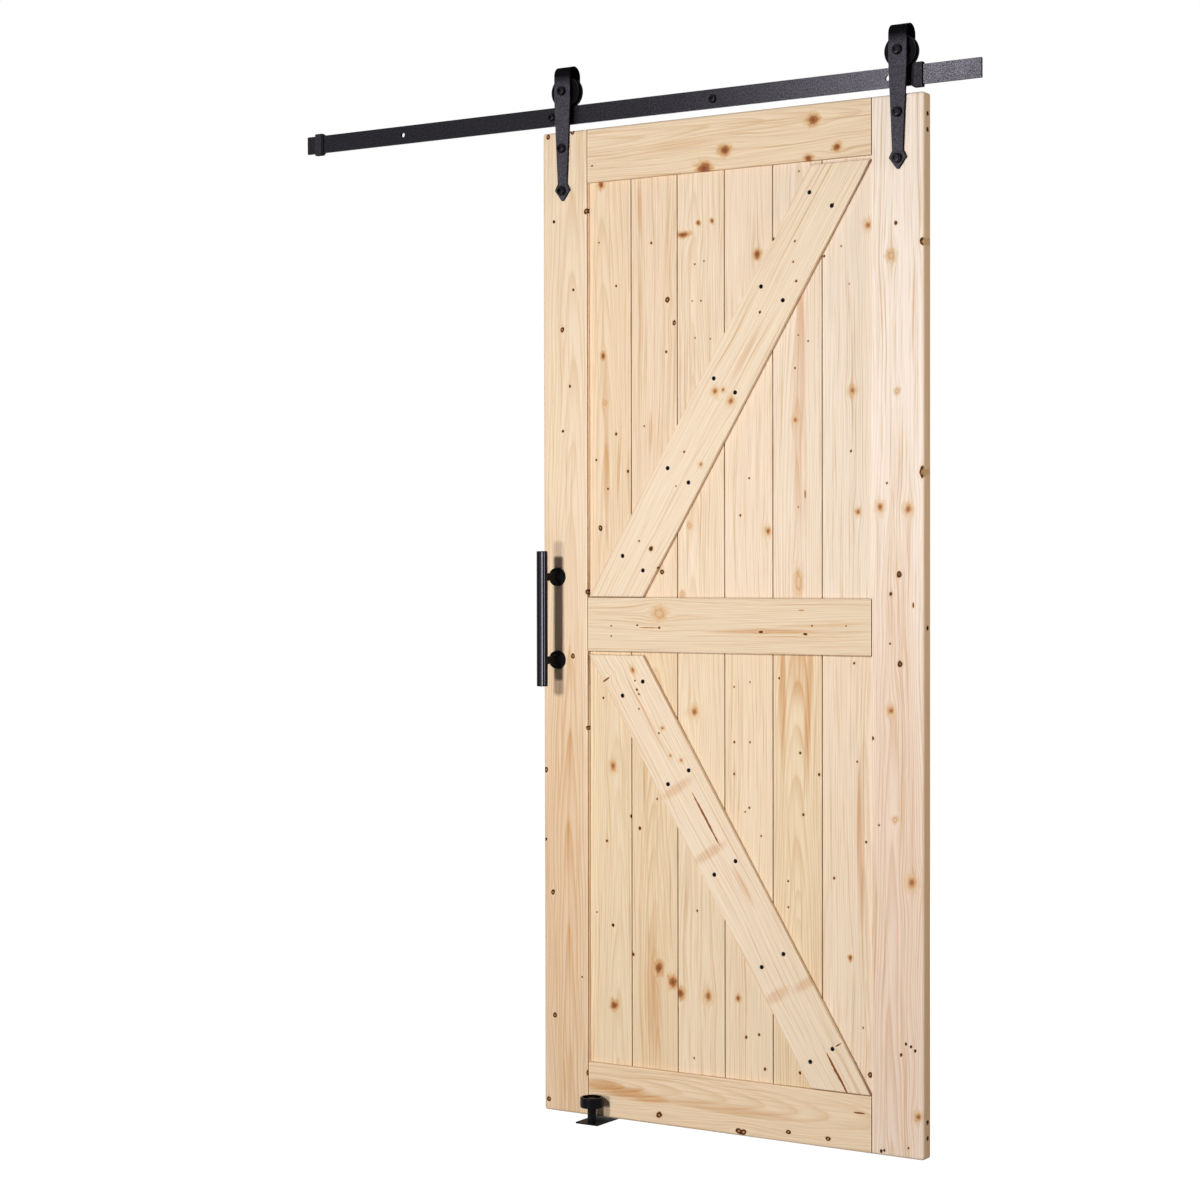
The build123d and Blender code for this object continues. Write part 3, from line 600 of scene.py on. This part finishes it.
def planed_spruce(name, number, knot_tree, streak_tree, look):
    """Planed spruce: pale early wood with soft tan ring lines, knots with dark rims, and a faint sheen.

    Each noise is scaled by the lengths of its blotches in mm: along the grain, into the board, across it.
    """
    early, ring_width, figure, (heart_across, heart_depth, heart_fall) = BOARDS[name]
    low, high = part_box(name)
    middle = Vector(((low.x + high.x) / 2, low.y, (low.z + high.z) / 2))
    material, tree = new_material(f"Planed_spruce_{name}")
    right_through = 1.0e6

    # Along the grain, into the board and across the grain, in millimetres
    where = add(tree, "ShaderNodeTexCoord").outputs["Object"]
    place = add(tree, "ShaderNodeMapping",
                {"Vector": where, "Location": middle, "Rotation": (0.0, -GRAIN[name], 0.0),
                 "Scale": (MM, MM, MM)}, vector_type="TEXTURE").outputs[0]
    axes = add(tree, "ShaderNodeSeparateXYZ", {0: place}).outputs

    # Knots, with ragged outlines
    rough_place = add(tree, "ShaderNodeVectorMath", {0: place, 1: (1 / 14, 1 / 9, 1 / 7)},
                      operation="MULTIPLY").outputs[0]
    rough = add(tree, "ShaderNodeTexNoise", {"Vector": rough_place, "W": number, "Scale": 1.0, "Detail": 2.0},
                noise_dimensions="4D").outputs[0]
    ragged = add(tree, "ShaderNodeMapRange", {"Value": rough, "From Min": 0.3, "From Max": 0.7,
                                              "To Min": 0.75, "To Max": 1.3}).outputs[0]
    shift, tone = 0.0, 0.0
    for x, z, radius, kind, *stretch in KNOTS[name]:
        length = radius * (stretch[0] if stretch else ROUND_KNOT)
        dark, eye, halo = KNOT_KINDS[kind]
        knot = add(tree, "ShaderNodeGroup",
                   {"Place": place, "Centre": board_place(name, x, z),
                    "Size": (length, right_through, radius), "Dark": dark, "Eye": eye, "Halo": halo,
                    "Ragged": ragged, "Shift": shift, "Tone": tone},
                   node_tree=knot_tree).outputs
        shift, tone = knot["Shift"], knot["Tone"]

    # The grain's slow bends, and its way round the knots
    slow = add(tree, "ShaderNodeVectorMath", {0: place, 1: (1 / 650, 1 / 120, 1 / 120)},
               operation="MULTIPLY").outputs[0]
    wave = add(tree, "ShaderNodeTexNoise", {"Vector": slow, "W": number + 0.5, "Scale": 1.0, "Detail": 2.0},
               noise_dimensions="4D").outputs[0]
    bend = add(tree, "ShaderNodeMapRange", {"Value": wave, "To Min": -26.0, "To Max": 26.0}).outputs[0]
    bent = add(tree, "ShaderNodeMath", {0: axes["Z"], 1: bend}, operation="ADD").outputs[0]
    flow = add(tree, "ShaderNodeMath", {0: bent, 1: shift}, operation="SUBTRACT").outputs[0]

    # Year rings of uneven width round the tree's heart
    across = add(tree, "ShaderNodeMath", {0: flow, 1: heart_across}, operation="SUBTRACT").outputs[0]
    fall = add(tree, "ShaderNodeMath", {0: axes["X"], 1: heart_fall * MM, 2: heart_depth},
               operation="MULTIPLY_ADD").outputs[0]
    depth = add(tree, "ShaderNodeMath", {0: fall, 1: axes["Y"]}, operation="ADD").outputs[0]
    from_heart = add(tree, "ShaderNodeCombineXYZ", {"X": across, "Y": depth}).outputs[0]
    away = add(tree, "ShaderNodeVectorMath", {0: from_heart}, operation="LENGTH").outputs["Value"]
    count = add(tree, "ShaderNodeMath", {0: away, 1: ring_width}, operation="DIVIDE").outputs[0]
    slower = add(tree, "ShaderNodeMath", {0: count, 1: 0.31}, operation="MULTIPLY").outputs[0]
    years = add(tree, "ShaderNodeTexNoise", {"W": slower, "Scale": 1.0, "Detail": 1.0},
                noise_dimensions="1D").outputs[0]
    uneven = add(tree, "ShaderNodeMath", {0: years, 1: 2.4, 2: count}, operation="MULTIPLY_ADD").outputs[0]
    year = add(tree, "ShaderNodeMath", {0: uneven}, operation="FRACT").outputs[0]
    ring = add(tree, "ShaderNodeValToRGB", {"Fac": year}, YEAR_RING).outputs[0]

    # Where the lines are strong and where they fade
    patch_place = add(tree, "ShaderNodeVectorMath", {0: place, 1: (1 / 420, 1 / 60, 1 / 34)},
                      operation="MULTIPLY").outputs[0]
    patch = add(tree, "ShaderNodeTexNoise",
                {"Vector": patch_place, "W": number + 3.0, "Scale": 1.0, "Detail": 3.0},
                noise_dimensions="4D").outputs[0]
    strong = add(tree, "ShaderNodeMapRange", {"Value": patch, "From Min": 0.3, "From Max": 0.7,
                                              "To Min": 0.25 * figure, "To Max": figure}).outputs[0]
    lines = add(tree, "ShaderNodeMath", {0: ring, 1: strong}, operation="MULTIPLY").outputs[0]

    # Veins that run along between the lines
    vein_flow = add(tree, "ShaderNodeCombineXYZ", {"X": axes["X"], "Y": axes["Y"], "Z": flow}).outputs[0]
    vein_place = add(tree, "ShaderNodeVectorMath", {0: vein_flow, 1: (1 / 420, 1 / 5, 1 / 5)},
                     operation="MULTIPLY").outputs[0]
    vein = add(tree, "ShaderNodeTexNoise",
               {"Vector": vein_place, "W": number + 9.0, "Scale": 1.0, "Detail": 4.0, "Roughness": 0.7},
               noise_dimensions="4D").outputs[0]
    veins = add(tree, "ShaderNodeMapRange", {"Value": vein, "From Min": 0.51, "From Max": 0.69,
                                             "To Max": 0.95}).outputs[0]
    veined = add(tree, "ShaderNodeMath", {0: lines, 1: veins}, operation="MAXIMUM").outputs[0]
    grain = add(tree, "ShaderNodeMix", {MIX_FACTOR: veined, MIX_A: linear(early), MIX_B: look.late_wood},
                data_type="RGBA").outputs[MIX_RESULT]

    # Stains of heart wood, which follow the grain and its lines
    flowing = add(tree, "ShaderNodeCombineXYZ", {"X": axes["X"], "Z": flow}).outputs[0]
    heart = 0.0
    for x, z, half_length, half_width, strength in STREAKS.get(name, ()):
        heart = add(tree, "ShaderNodeGroup",
                    {"Place": flowing, "Centre": board_place(name, x, z),
                     "Size": (half_length, right_through, half_width), "Strength": strength, "Heart": heart},
                    node_tree=streak_tree).outputs["Heart"]
    in_lines = add(tree, "ShaderNodeMapRange", {"Value": ring, "To Min": 0.6, "To Max": 1.0}).outputs[0]
    stain = add(tree, "ShaderNodeMath", {0: in_lines, 1: heart}, operation="MULTIPLY").outputs[0]
    stained = add(tree, "ShaderNodeMix", {MIX_FACTOR: stain, MIX_A: grain, MIX_B: look.heart_wood},
                  data_type="RGBA").outputs[MIX_RESULT]

    # Fibre streaks, drawn wider than real fibres so that they show
    fine_place = add(tree, "ShaderNodeVectorMath",
                     {0: place, 1: (1 / 110, 1 / look.fibre, 1 / look.fibre)},
                     operation="MULTIPLY").outputs[0]
    fine = add(tree, "ShaderNodeTexNoise", {"Vector": fine_place, "Scale": 1.0, "Detail": 3.0}).outputs[0]
    fibre = add(tree, "ShaderNodeMapRange", {"Value": fine, "From Min": 0.3, "From Max": 0.7,
                                             "To Min": 0.90, "To Max": 1.04}).outputs[0]
    fibred = add(tree, "ShaderNodeMix", {MIX_FACTOR: 1.0, MIX_A: stained, MIX_B: fibre},
                 data_type="RGBA", blend_type="MULTIPLY").outputs[MIX_RESULT]

    # The knots' own colours over the grain
    knot_colour = add(tree, "ShaderNodeValToRGB", {"Fac": tone}, KNOT_TONES).outputs[0]
    knot_cover = add(tree, "ShaderNodeMapRange",
                     {"Value": tone, "From Min": 0.02, "From Max": 0.30}).outputs[0]
    knotted = add(tree, "ShaderNodeMix", {MIX_FACTOR: knot_cover, MIX_A: fibred, MIX_B: knot_colour},
                  data_type="RGBA").outputs[MIX_RESULT]
    colour = jointed(tree, name, where, axes, knotted, look)

    # Late wood is a little glossier than early wood
    polish = add(tree, "ShaderNodeMapRange", {"Value": lines, "To Min": look.roughness,
                                              "To Max": look.roughness - 0.12}).outputs[0]
    bump = add(tree, "ShaderNodeBump", {"Height": fine, "Strength": 0.35, "Distance": 0.25 * MM}).outputs[0]
    shader = add(tree, "ShaderNodeBsdfPrincipled",
                 {"Base Color": colour, "Roughness": polish, "IOR": 1.5, "Specular IOR Level": 0.18,
                  "Normal": bump}).outputs[0]
    add(tree, "ShaderNodeOutputMaterial", {"Surface": shader})
    return material


def black_finish(name, look, painted_shade_above=None):
    """A black finish from the table: a noise bump of its grain, glints on it, and slightly uneven gloss.

    Painted shade turns it black from the height of painted_shade_above on, where one is given, and darkens
    its sides and bends by the table's share.
    """
    colour, roughness, grain_mm, grain_depth, specular, painted_side_shade = FINISHES[name]
    material, tree = new_material(name)
    coords = add(tree, "ShaderNodeTexCoord").outputs
    where = coords["Object"]
    grain_size, cloud_size = (grain_mm or look.coat_grain) * MM, 28 * MM
    grit = add(tree, "ShaderNodeTexNoise",
               {"Vector": where, "Scale": 1 / grain_size, "Detail": 3.0}).outputs[0]
    cloud = add(tree, "ShaderNodeTexNoise",
                {"Vector": where, "Scale": 1 / cloud_size, "Detail": 2.0}).outputs[0]
    lift = add(tree, "ShaderNodeMapRange", {"Value": grit, "From Min": 0.35, "From Max": 0.75,
                                            "To Min": 0.62, "To Max": 1.6}).outputs[0]

    # Deeper grain glints more, and a smooth finish has the same gloss all over
    glint = specular
    if grain_depth:
        spread = min(4.0 * grain_depth, 0.8)
        glint = add(tree, "ShaderNodeMapRange", {"Value": grit, "From Min": 0.35, "From Max": 0.65,
                                                 "To Min": (1.0 - spread) * specular,
                                                 "To Max": (1.0 + spread) * specular}).outputs[0]

    # Painted shade, which dims both colour and glints
    shades = []
    if painted_shade_above is not None:
        height = add(tree, "ShaderNodeSeparateXYZ", {0: where}).outputs["Z"]
        shades.append(add(tree, "ShaderNodeMapRange",
                          {"Value": height, "From Min": painted_shade_above, "From Max": painted_shade_above + STRAP_SHADE_FADE,
                           "To Min": 1.0, "To Max": 0.1}).outputs[0])
    if painted_side_shade:
        forward = add(tree, "ShaderNodeSeparateXYZ", {0: coords["Normal"]}).outputs["Y"]
        flatness = add(tree, "ShaderNodeMath", {0: forward}, operation="ABSOLUTE").outputs[0]
        shades.append(add(tree, "ShaderNodeMapRange", {"Value": flatness, "From Min": 0.4, "From Max": 0.97,
                                                       "To Min": 1.0 - painted_side_shade}).outputs[0])
    for shade in shades:
        lift = add(tree, "ShaderNodeMath", {0: lift, 1: shade}, operation="MULTIPLY").outputs[0]
        glint = add(tree, "ShaderNodeMath", {0: glint, 1: shade}, operation="MULTIPLY").outputs[0]

    base = linear(colour) if colour else look.coat
    tint = add(tree, "ShaderNodeMix", {MIX_FACTOR: 1.0, MIX_A: base, MIX_B: lift},
               data_type="RGBA", blend_type="MULTIPLY").outputs[MIX_RESULT]
    gloss = add(tree, "ShaderNodeMapRange",
                {"Value": cloud, "From Min": 0.3, "From Max": 0.7,
                 "To Min": roughness - 0.02, "To Max": roughness + 0.02}).outputs[0]
    bump = add(tree, "ShaderNodeBump",
               {"Height": grit, "Strength": 0.5, "Distance": grain_depth * MM}).outputs[0]
    shader = add(tree, "ShaderNodeBsdfPrincipled",
                 {"Base Color": tint, "Roughness": gloss, "Specular IOR Level": glint,
                  "Specular Tint": COOL_GLOSS, "Normal": bump}).outputs[0]
    add(tree, "ShaderNodeOutputMaterial", {"Surface": shader})
    return material


def give(node, material):
    """Give a CAD node its finish."""
    piece = frame["nodes"][node]
    piece.data.materials.clear()
    piece.data.materials.append(material)


def finish_piece(bm, name, body, material):
    """Make a piece from a bmesh, smooth it, and let it ride on its body."""
    bmesh.ops.recalc_face_normals(bm, faces=bm.faces)
    mesh = bpy.data.meshes.new(name)
    bm.to_mesh(mesh)
    bm.free()
    mesh.shade_smooth()
    mesh.set_sharp_from_angle(angle=radians(35))
    mesh.materials.append(material)
    piece = bpy.data.objects.new(name, mesh)
    bpy.context.scene.collection.objects.link(piece)
    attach(piece, body)


def new_verts(out):
    """The vertices that an operator made."""
    return [item for item in out["geom"] if isinstance(item, bmesh.types.BMVert)]


def new_edges(out):
    """The edges that an operator made."""
    return [item for item in out["geom"] if isinstance(item, bmesh.types.BMEdge)]


def edge_ring(verts):
    """The edges of a circle that has just been made."""
    return list(dict.fromkeys(edge for vert in verts for edge in vert.link_edges))


def flared(bm, edges, steps):
    """Carry a ring of edges on through steps, each a growth and a rise, and close nothing."""
    for grow, rise in steps:
        out = bmesh.ops.extrude_edge_only(bm, edges=edges)
        edges = new_edges(out)
        bmesh.ops.scale(bm, verts=new_verts(out), vec=(grow, grow, 1.0))
        bmesh.ops.translate(bm, verts=new_verts(out), vec=(0.0, 0.0, rise))


def cross_head(radius, rise):
    """A screw's head facing up: a low dome with a cross recess."""
    bm = bmesh.new()
    arm, flat, pit_depth = radius * 0.42, radius * 0.8, radius * 0.45
    bmesh.ops.create_grid(bm, x_segments=3, y_segments=3, size=arm)
    rim = [edge for edge in bm.edges if edge.is_boundary]
    middles = {face: face.calc_center_median() for face in bm.faces}
    cross = [face for face, place in middles.items() if min(abs(place.x), abs(place.y)) < arm * 0.1]
    pit = bmesh.ops.extrude_face_region(bm, geom=cross)
    bmesh.ops.translate(bm, verts=new_verts(pit), vec=(0.0, 0.0, -pit_depth))
    bmesh.ops.delete(bm, geom=[face for face in cross if face.is_valid], context="FACES_ONLY")
    dome = edge_ring(bmesh.ops.create_circle(bm, segments=12, radius=flat)["verts"])
    bmesh.ops.bridge_loops(bm, edges=rim + dome)
    flared(bm, dome, ((radius / flat, -rise * 0.5), (1.0, -rise)))
    return bm


def socket_head(radius, height, washer=0.0):
    """A bolt's head facing up: a bevelled drum with a hexagon socket, on a washer where it has one."""
    bm = bmesh.new()
    bevel, socket, pit_depth = radius * 0.12, radius * 0.56, height * 0.6
    flat = radius - bevel
    bmesh.ops.create_circle(bm, segments=6, radius=socket)
    bmesh.ops.subdivide_edges(bm, edges=bm.edges[:], cuts=3)
    socket_edges = bm.edges[:]
    drum = edge_ring(bmesh.ops.create_circle(bm, segments=24, radius=flat)["verts"])
    bmesh.ops.bridge_loops(bm, edges=socket_edges + drum)
    pit = bmesh.ops.extrude_edge_only(bm, edges=socket_edges)
    bmesh.ops.translate(bm, verts=new_verts(pit), vec=(0.0, 0.0, -pit_depth))
    bmesh.ops.contextual_create(bm, geom=new_edges(pit))
    steps = [(radius / flat, -bevel), (1.0, bevel - height)]
    if washer:
        steps += [(washer / radius, 0.0), (1.0, -WASHER_THICKNESS)]
    flared(bm, drum, steps)
    return bm


def stamped(head, points, direction):
    """Copies of one head in one bmesh, at each point, facing in a direction."""
    turn = Vector(direction).to_track_quat("Z", "Y").to_matrix().to_4x4()
    pattern = bpy.data.meshes.new("pattern")
    head.to_mesh(pattern)
    head.free()
    bm = bmesh.new()
    for point in points:
        copy = pattern.copy()
        copy.transform(Matrix.Translation(point) @ turn)
        bm.from_mesh(copy)
        bpy.data.meshes.remove(copy)
    bpy.data.meshes.remove(pattern)
    return bm


class BARNDOOR_OT_boards(bpy.types.Operator):
    """Give every board of the leaf its own planed spruce"""

    bl_idname = "barndoor.boards"
    bl_label = "Spruce boards"

    def execute(self, context):
        look = context.scene.barndoor_wood
        knot_tree, streak_tree = knot_group(), streak_group()
        for number, name in enumerate(BOARDS):
            give(name, planed_spruce(name, number * SEED_STEP, knot_tree, streak_tree, look))
        return {"FINISHED"}


class BARNDOOR_OT_hardware(bpy.types.Operator):
    """Give the track, the hangers, the pull and the floor guide their black finishes"""

    bl_idname = "barndoor.hardware"
    bl_label = "Black hardware"

    def execute(self, context):
        look = context.scene.barndoor_hardware
        above_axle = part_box("right_axle")[1].z
        made = {}
        for part in frame["record"]["subparts"]:
            name = NODE_FINISHES.get(part["node"], SLOT_FINISHES.get(part["material_slot"]))
            if name is None:
                continue
            if name not in made:
                # Painted shade turns the straps black above their axles
                made[name] = black_finish(name, look, above_axle if name == STRAP_FINISH else None)
            give(part["node"], made[name])
        return {"FINISHED"}


class BARNDOOR_OT_brace_screws(bpy.types.Operator):
    """Drive five pairs of black screws through each brace"""

    bl_idname = "barndoor.brace_screws"
    bl_label = "Brace screws"

    def execute(self, context):
        look = context.scene.barndoor_hardware
        steel = black_finish("Black_phosphate_screw_steel", look)
        for name in ("upper_brace", "lower_brace"):
            low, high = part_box(name)
            middle = Vector(((low.x + high.x) / 2, low.y - SCREW_RISE, (low.z + high.z) / 2))
            along = Vector((cos(GRAIN[name]), 0.0, sin(GRAIN[name])))
            across = Vector((-along.z, 0.0, along.x))
            points = [middle + along * pair * PAIR_PITCH + across * side * PAIR_SPREAD
                      for pair in range(-2, 3) for side in (-0.5, 0.5)]
            bm = stamped(cross_head(look.screw_head / 2, SCREW_RISE), points, (0.0, -1.0, 0.0))
            finish_piece(bm, f"{name}_screws", "door", steel)
        return {"FINISHED"}


class BARNDOOR_OT_frame_bolts(bpy.types.Operator):
    """Set the bolts that draw the frame together into the holes in the stiles' edges"""

    bl_idname = "barndoor.frame_bolts"
    bl_label = "Frame bolts"

    def execute(self, context):
        look = context.scene.barndoor_hardware
        steel = black_finish("Black_oxide_frame_bolt_steel", look)
        for side, edge, out in (("left", LEAF_LOW.x, -1.0), ("right", LEAF_HIGH.x, 1.0)):
            points = [Vector((edge - out * look.bolt_sink, LEAF_LOW.y + LEAF_THICKNESS / 2,
                              LEAF_LOW.z + height * MM)) for height in FRAME_BOLT_HEIGHTS]
            bm = stamped(socket_head(look.bolt_head / 2, FRAME_BOLT_HEAD), points, (out, 0.0, 0.0))
            finish_piece(bm, f"{side}_frame_bolts", "door", steel)
        return {"FINISHED"}


class BARNDOOR_OT_pull_bolts(bpy.types.Operator):
    """Put the pull's two bolts with their washers on the back of the left stile"""

    bl_idname = "barndoor.pull_bolts"
    bl_label = "Pull bolts"

    def execute(self, context):
        look = context.scene.barndoor_hardware
        steel = black_finish("Black_oxide_pull_bolt_steel", look)
        boxes = [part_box(post) for post in ("handle_upper_post", "handle_lower_post")]
        back = LEAF_LOW.y + LEAF_THICKNESS + PULL_HEAD_HEIGHT + WASHER_THICKNESS
        points = [Vector(((low.x + high.x) / 2, back, (low.z + high.z) / 2)) for low, high in boxes]
        head = socket_head(look.pull_head / 2, PULL_HEAD_HEIGHT, washer=WASHER_RADIUS)
        finish_piece(stamped(head, points, (0.0, 1.0, 0.0)), "pull_bolts", "door", steel)
        return {"FINISHED"}


class BARNDOOR_OT_stage(bpy.types.Operator):
    """Set up the white studio: the floor, the lamps and the camera"""

    bl_idname = "barndoor.stage"
    bl_label = "Studio"

    def execute(self, context):
        scene, look = context.scene, context.scene.barndoor_stage
        scene.view_settings.view_transform = "Standard"
        scene.world = self.white_world(look)

        bm = bmesh.new()
        bmesh.ops.create_grid(bm, x_segments=1, y_segments=1, size=FLOOR_REACH,
                              matrix=Matrix.Translation((0.0, 0.0, CAD_BOX[0].z - FLOOR_GAP)))
        mesh = bpy.data.meshes.new("floor")
        bm.to_mesh(mesh)
        bm.free()
        floor = bpy.data.objects.new("floor", mesh)
        scene.collection.objects.link(floor)
        mesh.materials.append(self.pale_floor(look))

        for name, settings in LAMPS.items():
            scene.collection.objects.link(self.lamp(name, look, *settings))

        lens = bpy.data.cameras.new("camera")
        lens.lens, lens.sensor_width, lens.clip_end = LENS_MM, SENSOR_MM, VIEW_DEPTH
        camera = bpy.data.objects.new("camera", lens)
        camera.location = on_leaf(*CAMERA_PLACE)
        camera.rotation_euler = [radians(turn) for turn in CAMERA_TURNS]
        scene.collection.objects.link(camera)
        scene.camera = camera
        return {"FINISHED"}

    @staticmethod
    def lamp(name, look, turn, rise, reach, width, height, watts, shown_in):
        """One lamp of the studio, which faces the middle of the door."""
        lamp = bpy.data.lights.new(name, "AREA")
        lamp.shape = "RECTANGLE"
        lamp.size, lamp.size_y = width, height
        lamp.energy = watts * look.power
        piece = bpy.data.objects.new(name, lamp)
        turn, rise = radians(turn), radians(rise)
        away = Vector((sin(turn) * cos(rise), -cos(turn) * cos(rise), sin(rise)))
        piece.location = on_leaf(*LAMP_AIM) + away * reach
        piece.rotation_euler = away.to_track_quat("Z", "Y").to_euler()
        piece.visible_camera = False
        if shown_in:
            piece.visible_diffuse = False
            shiny = bpy.data.collections.new(f"{name}_pieces")
            for node in shown_in:
                shiny.objects.link(frame["nodes"][node])
            piece.light_linking.receiver_collection = shiny
        return piece

    @staticmethod
    def seen_by_eye(tree):
        """1 for rays from the camera, or from gloss and glass, and 0 for light on the door."""
        ray = add(tree, "ShaderNodeLightPath").outputs
        first = add(tree, "ShaderNodeMath", {0: ray["Is Camera Ray"], 1: ray["Is Glossy Ray"]},
                    operation="MAXIMUM").outputs[0]
        return add(tree, "ShaderNodeMath", {0: first, 1: ray["Is Transmission Ray"]},
                   operation="MAXIMUM").outputs[0]

    def white_world(self, look):
        """A faint fill of light, in which all that is seen behind the door is plain white."""
        world = bpy.data.worlds.new("Studio")
        world.use_nodes = True
        tree = world.node_tree
        tree.nodes.clear()
        fill = add(tree, "ShaderNodeBackground", {"Strength": look.fill}).outputs[0]
        plain = add(tree, "ShaderNodeBackground", {"Color": look.background, "Strength": 1.0}).outputs[0]
        either = add(tree, "ShaderNodeMixShader", {0: self.seen_by_eye(tree), 1: fill, 2: plain}).outputs[0]
        add(tree, "ShaderNodeOutputWorld", {"Surface": either})
        return world

    def pale_floor(self, look):
        """A floor that looks white and keeps the door's soft shadow, but throws little light back up."""
        material, tree = new_material("Pale_studio_floor")
        matt = add(tree, "ShaderNodeBsdfDiffuse", {"Color": linear("#5E5C5A")}).outputs[0]
        faint = add(tree, "ShaderNodeBsdfDiffuse", {"Color": grey(0.22)}).outputs[0]

        # The glow grows to plain white with the distance in metres, so that no horizon shows
        where = add(tree, "ShaderNodeTexCoord").outputs["Object"]
        away = add(tree, "ShaderNodeVectorMath", {0: where}, operation="LENGTH").outputs["Value"]
        level = add(tree, "ShaderNodeMapRange", {"Value": away, "From Min": 2.6, "From Max": 4.5,
                                                 "To Min": 0.95, "To Max": 1.0}).outputs[0]
        glow = add(tree, "ShaderNodeEmission", {"Color": look.background, "Strength": level}).outputs[0]
        shown = add(tree, "ShaderNodeAddShader", {0: faint, 1: glow}).outputs[0]
        either = add(tree, "ShaderNodeMixShader", {0: self.seen_by_eye(tree), 1: matt, 2: shown}).outputs[0]
        add(tree, "ShaderNodeOutputMaterial", {"Surface": either})
        return material


class BARNDOOR_PT_looks(bpy.types.Panel):
    """The door's looks, in the sidebar"""

    bl_idname = "BARNDOOR_PT_looks"
    bl_label = "Barn door"
    bl_space_type = "VIEW_3D"
    bl_region_type = "UI"
    bl_category = "Barn door"

    def draw(self, context):
        for settings in (context.scene.barndoor_wood, context.scene.barndoor_hardware,
                         context.scene.barndoor_stage):
            box = self.layout.box()
            for name in settings.__annotations__:
                box.prop(settings, name)
        for operator in OPERATORS:
            self.layout.operator(operator.bl_idname)


SETTINGS = {"barndoor_wood": BARNDOOR_PG_wood, "barndoor_hardware": BARNDOOR_PG_hardware,
            "barndoor_stage": BARNDOOR_PG_stage}
OPERATORS = (BARNDOOR_OT_stage, BARNDOOR_OT_boards, BARNDOOR_OT_hardware, BARNDOOR_OT_brace_screws,
             BARNDOOR_OT_frame_bolts, BARNDOOR_OT_pull_bolts)


def register():
    """Make the settings, operators and panel known."""
    for group in (*SETTINGS.values(), *OPERATORS, BARNDOOR_PT_looks):
        bpy.utils.register_class(group)
    for name, group in SETTINGS.items():
        setattr(bpy.types.Scene, name, PointerProperty(type=group))


def unregister():
    """Take them away again."""
    for name in SETTINGS:
        delattr(bpy.types.Scene, name)
    for group in (BARNDOOR_PT_looks, *reversed(OPERATORS), *SETTINGS.values()):
        bpy.utils.unregister_class(group)


def main():
    """Set up the studio and dress the door."""
    register()
    bpy.ops.barndoor.stage()
    bpy.ops.barndoor.boards()
    bpy.ops.barndoor.hardware()
    bpy.ops.barndoor.brace_screws()
    bpy.ops.barndoor.frame_bolts()
    bpy.ops.barndoor.pull_bolts()


if __name__ == "__main__":
    main()
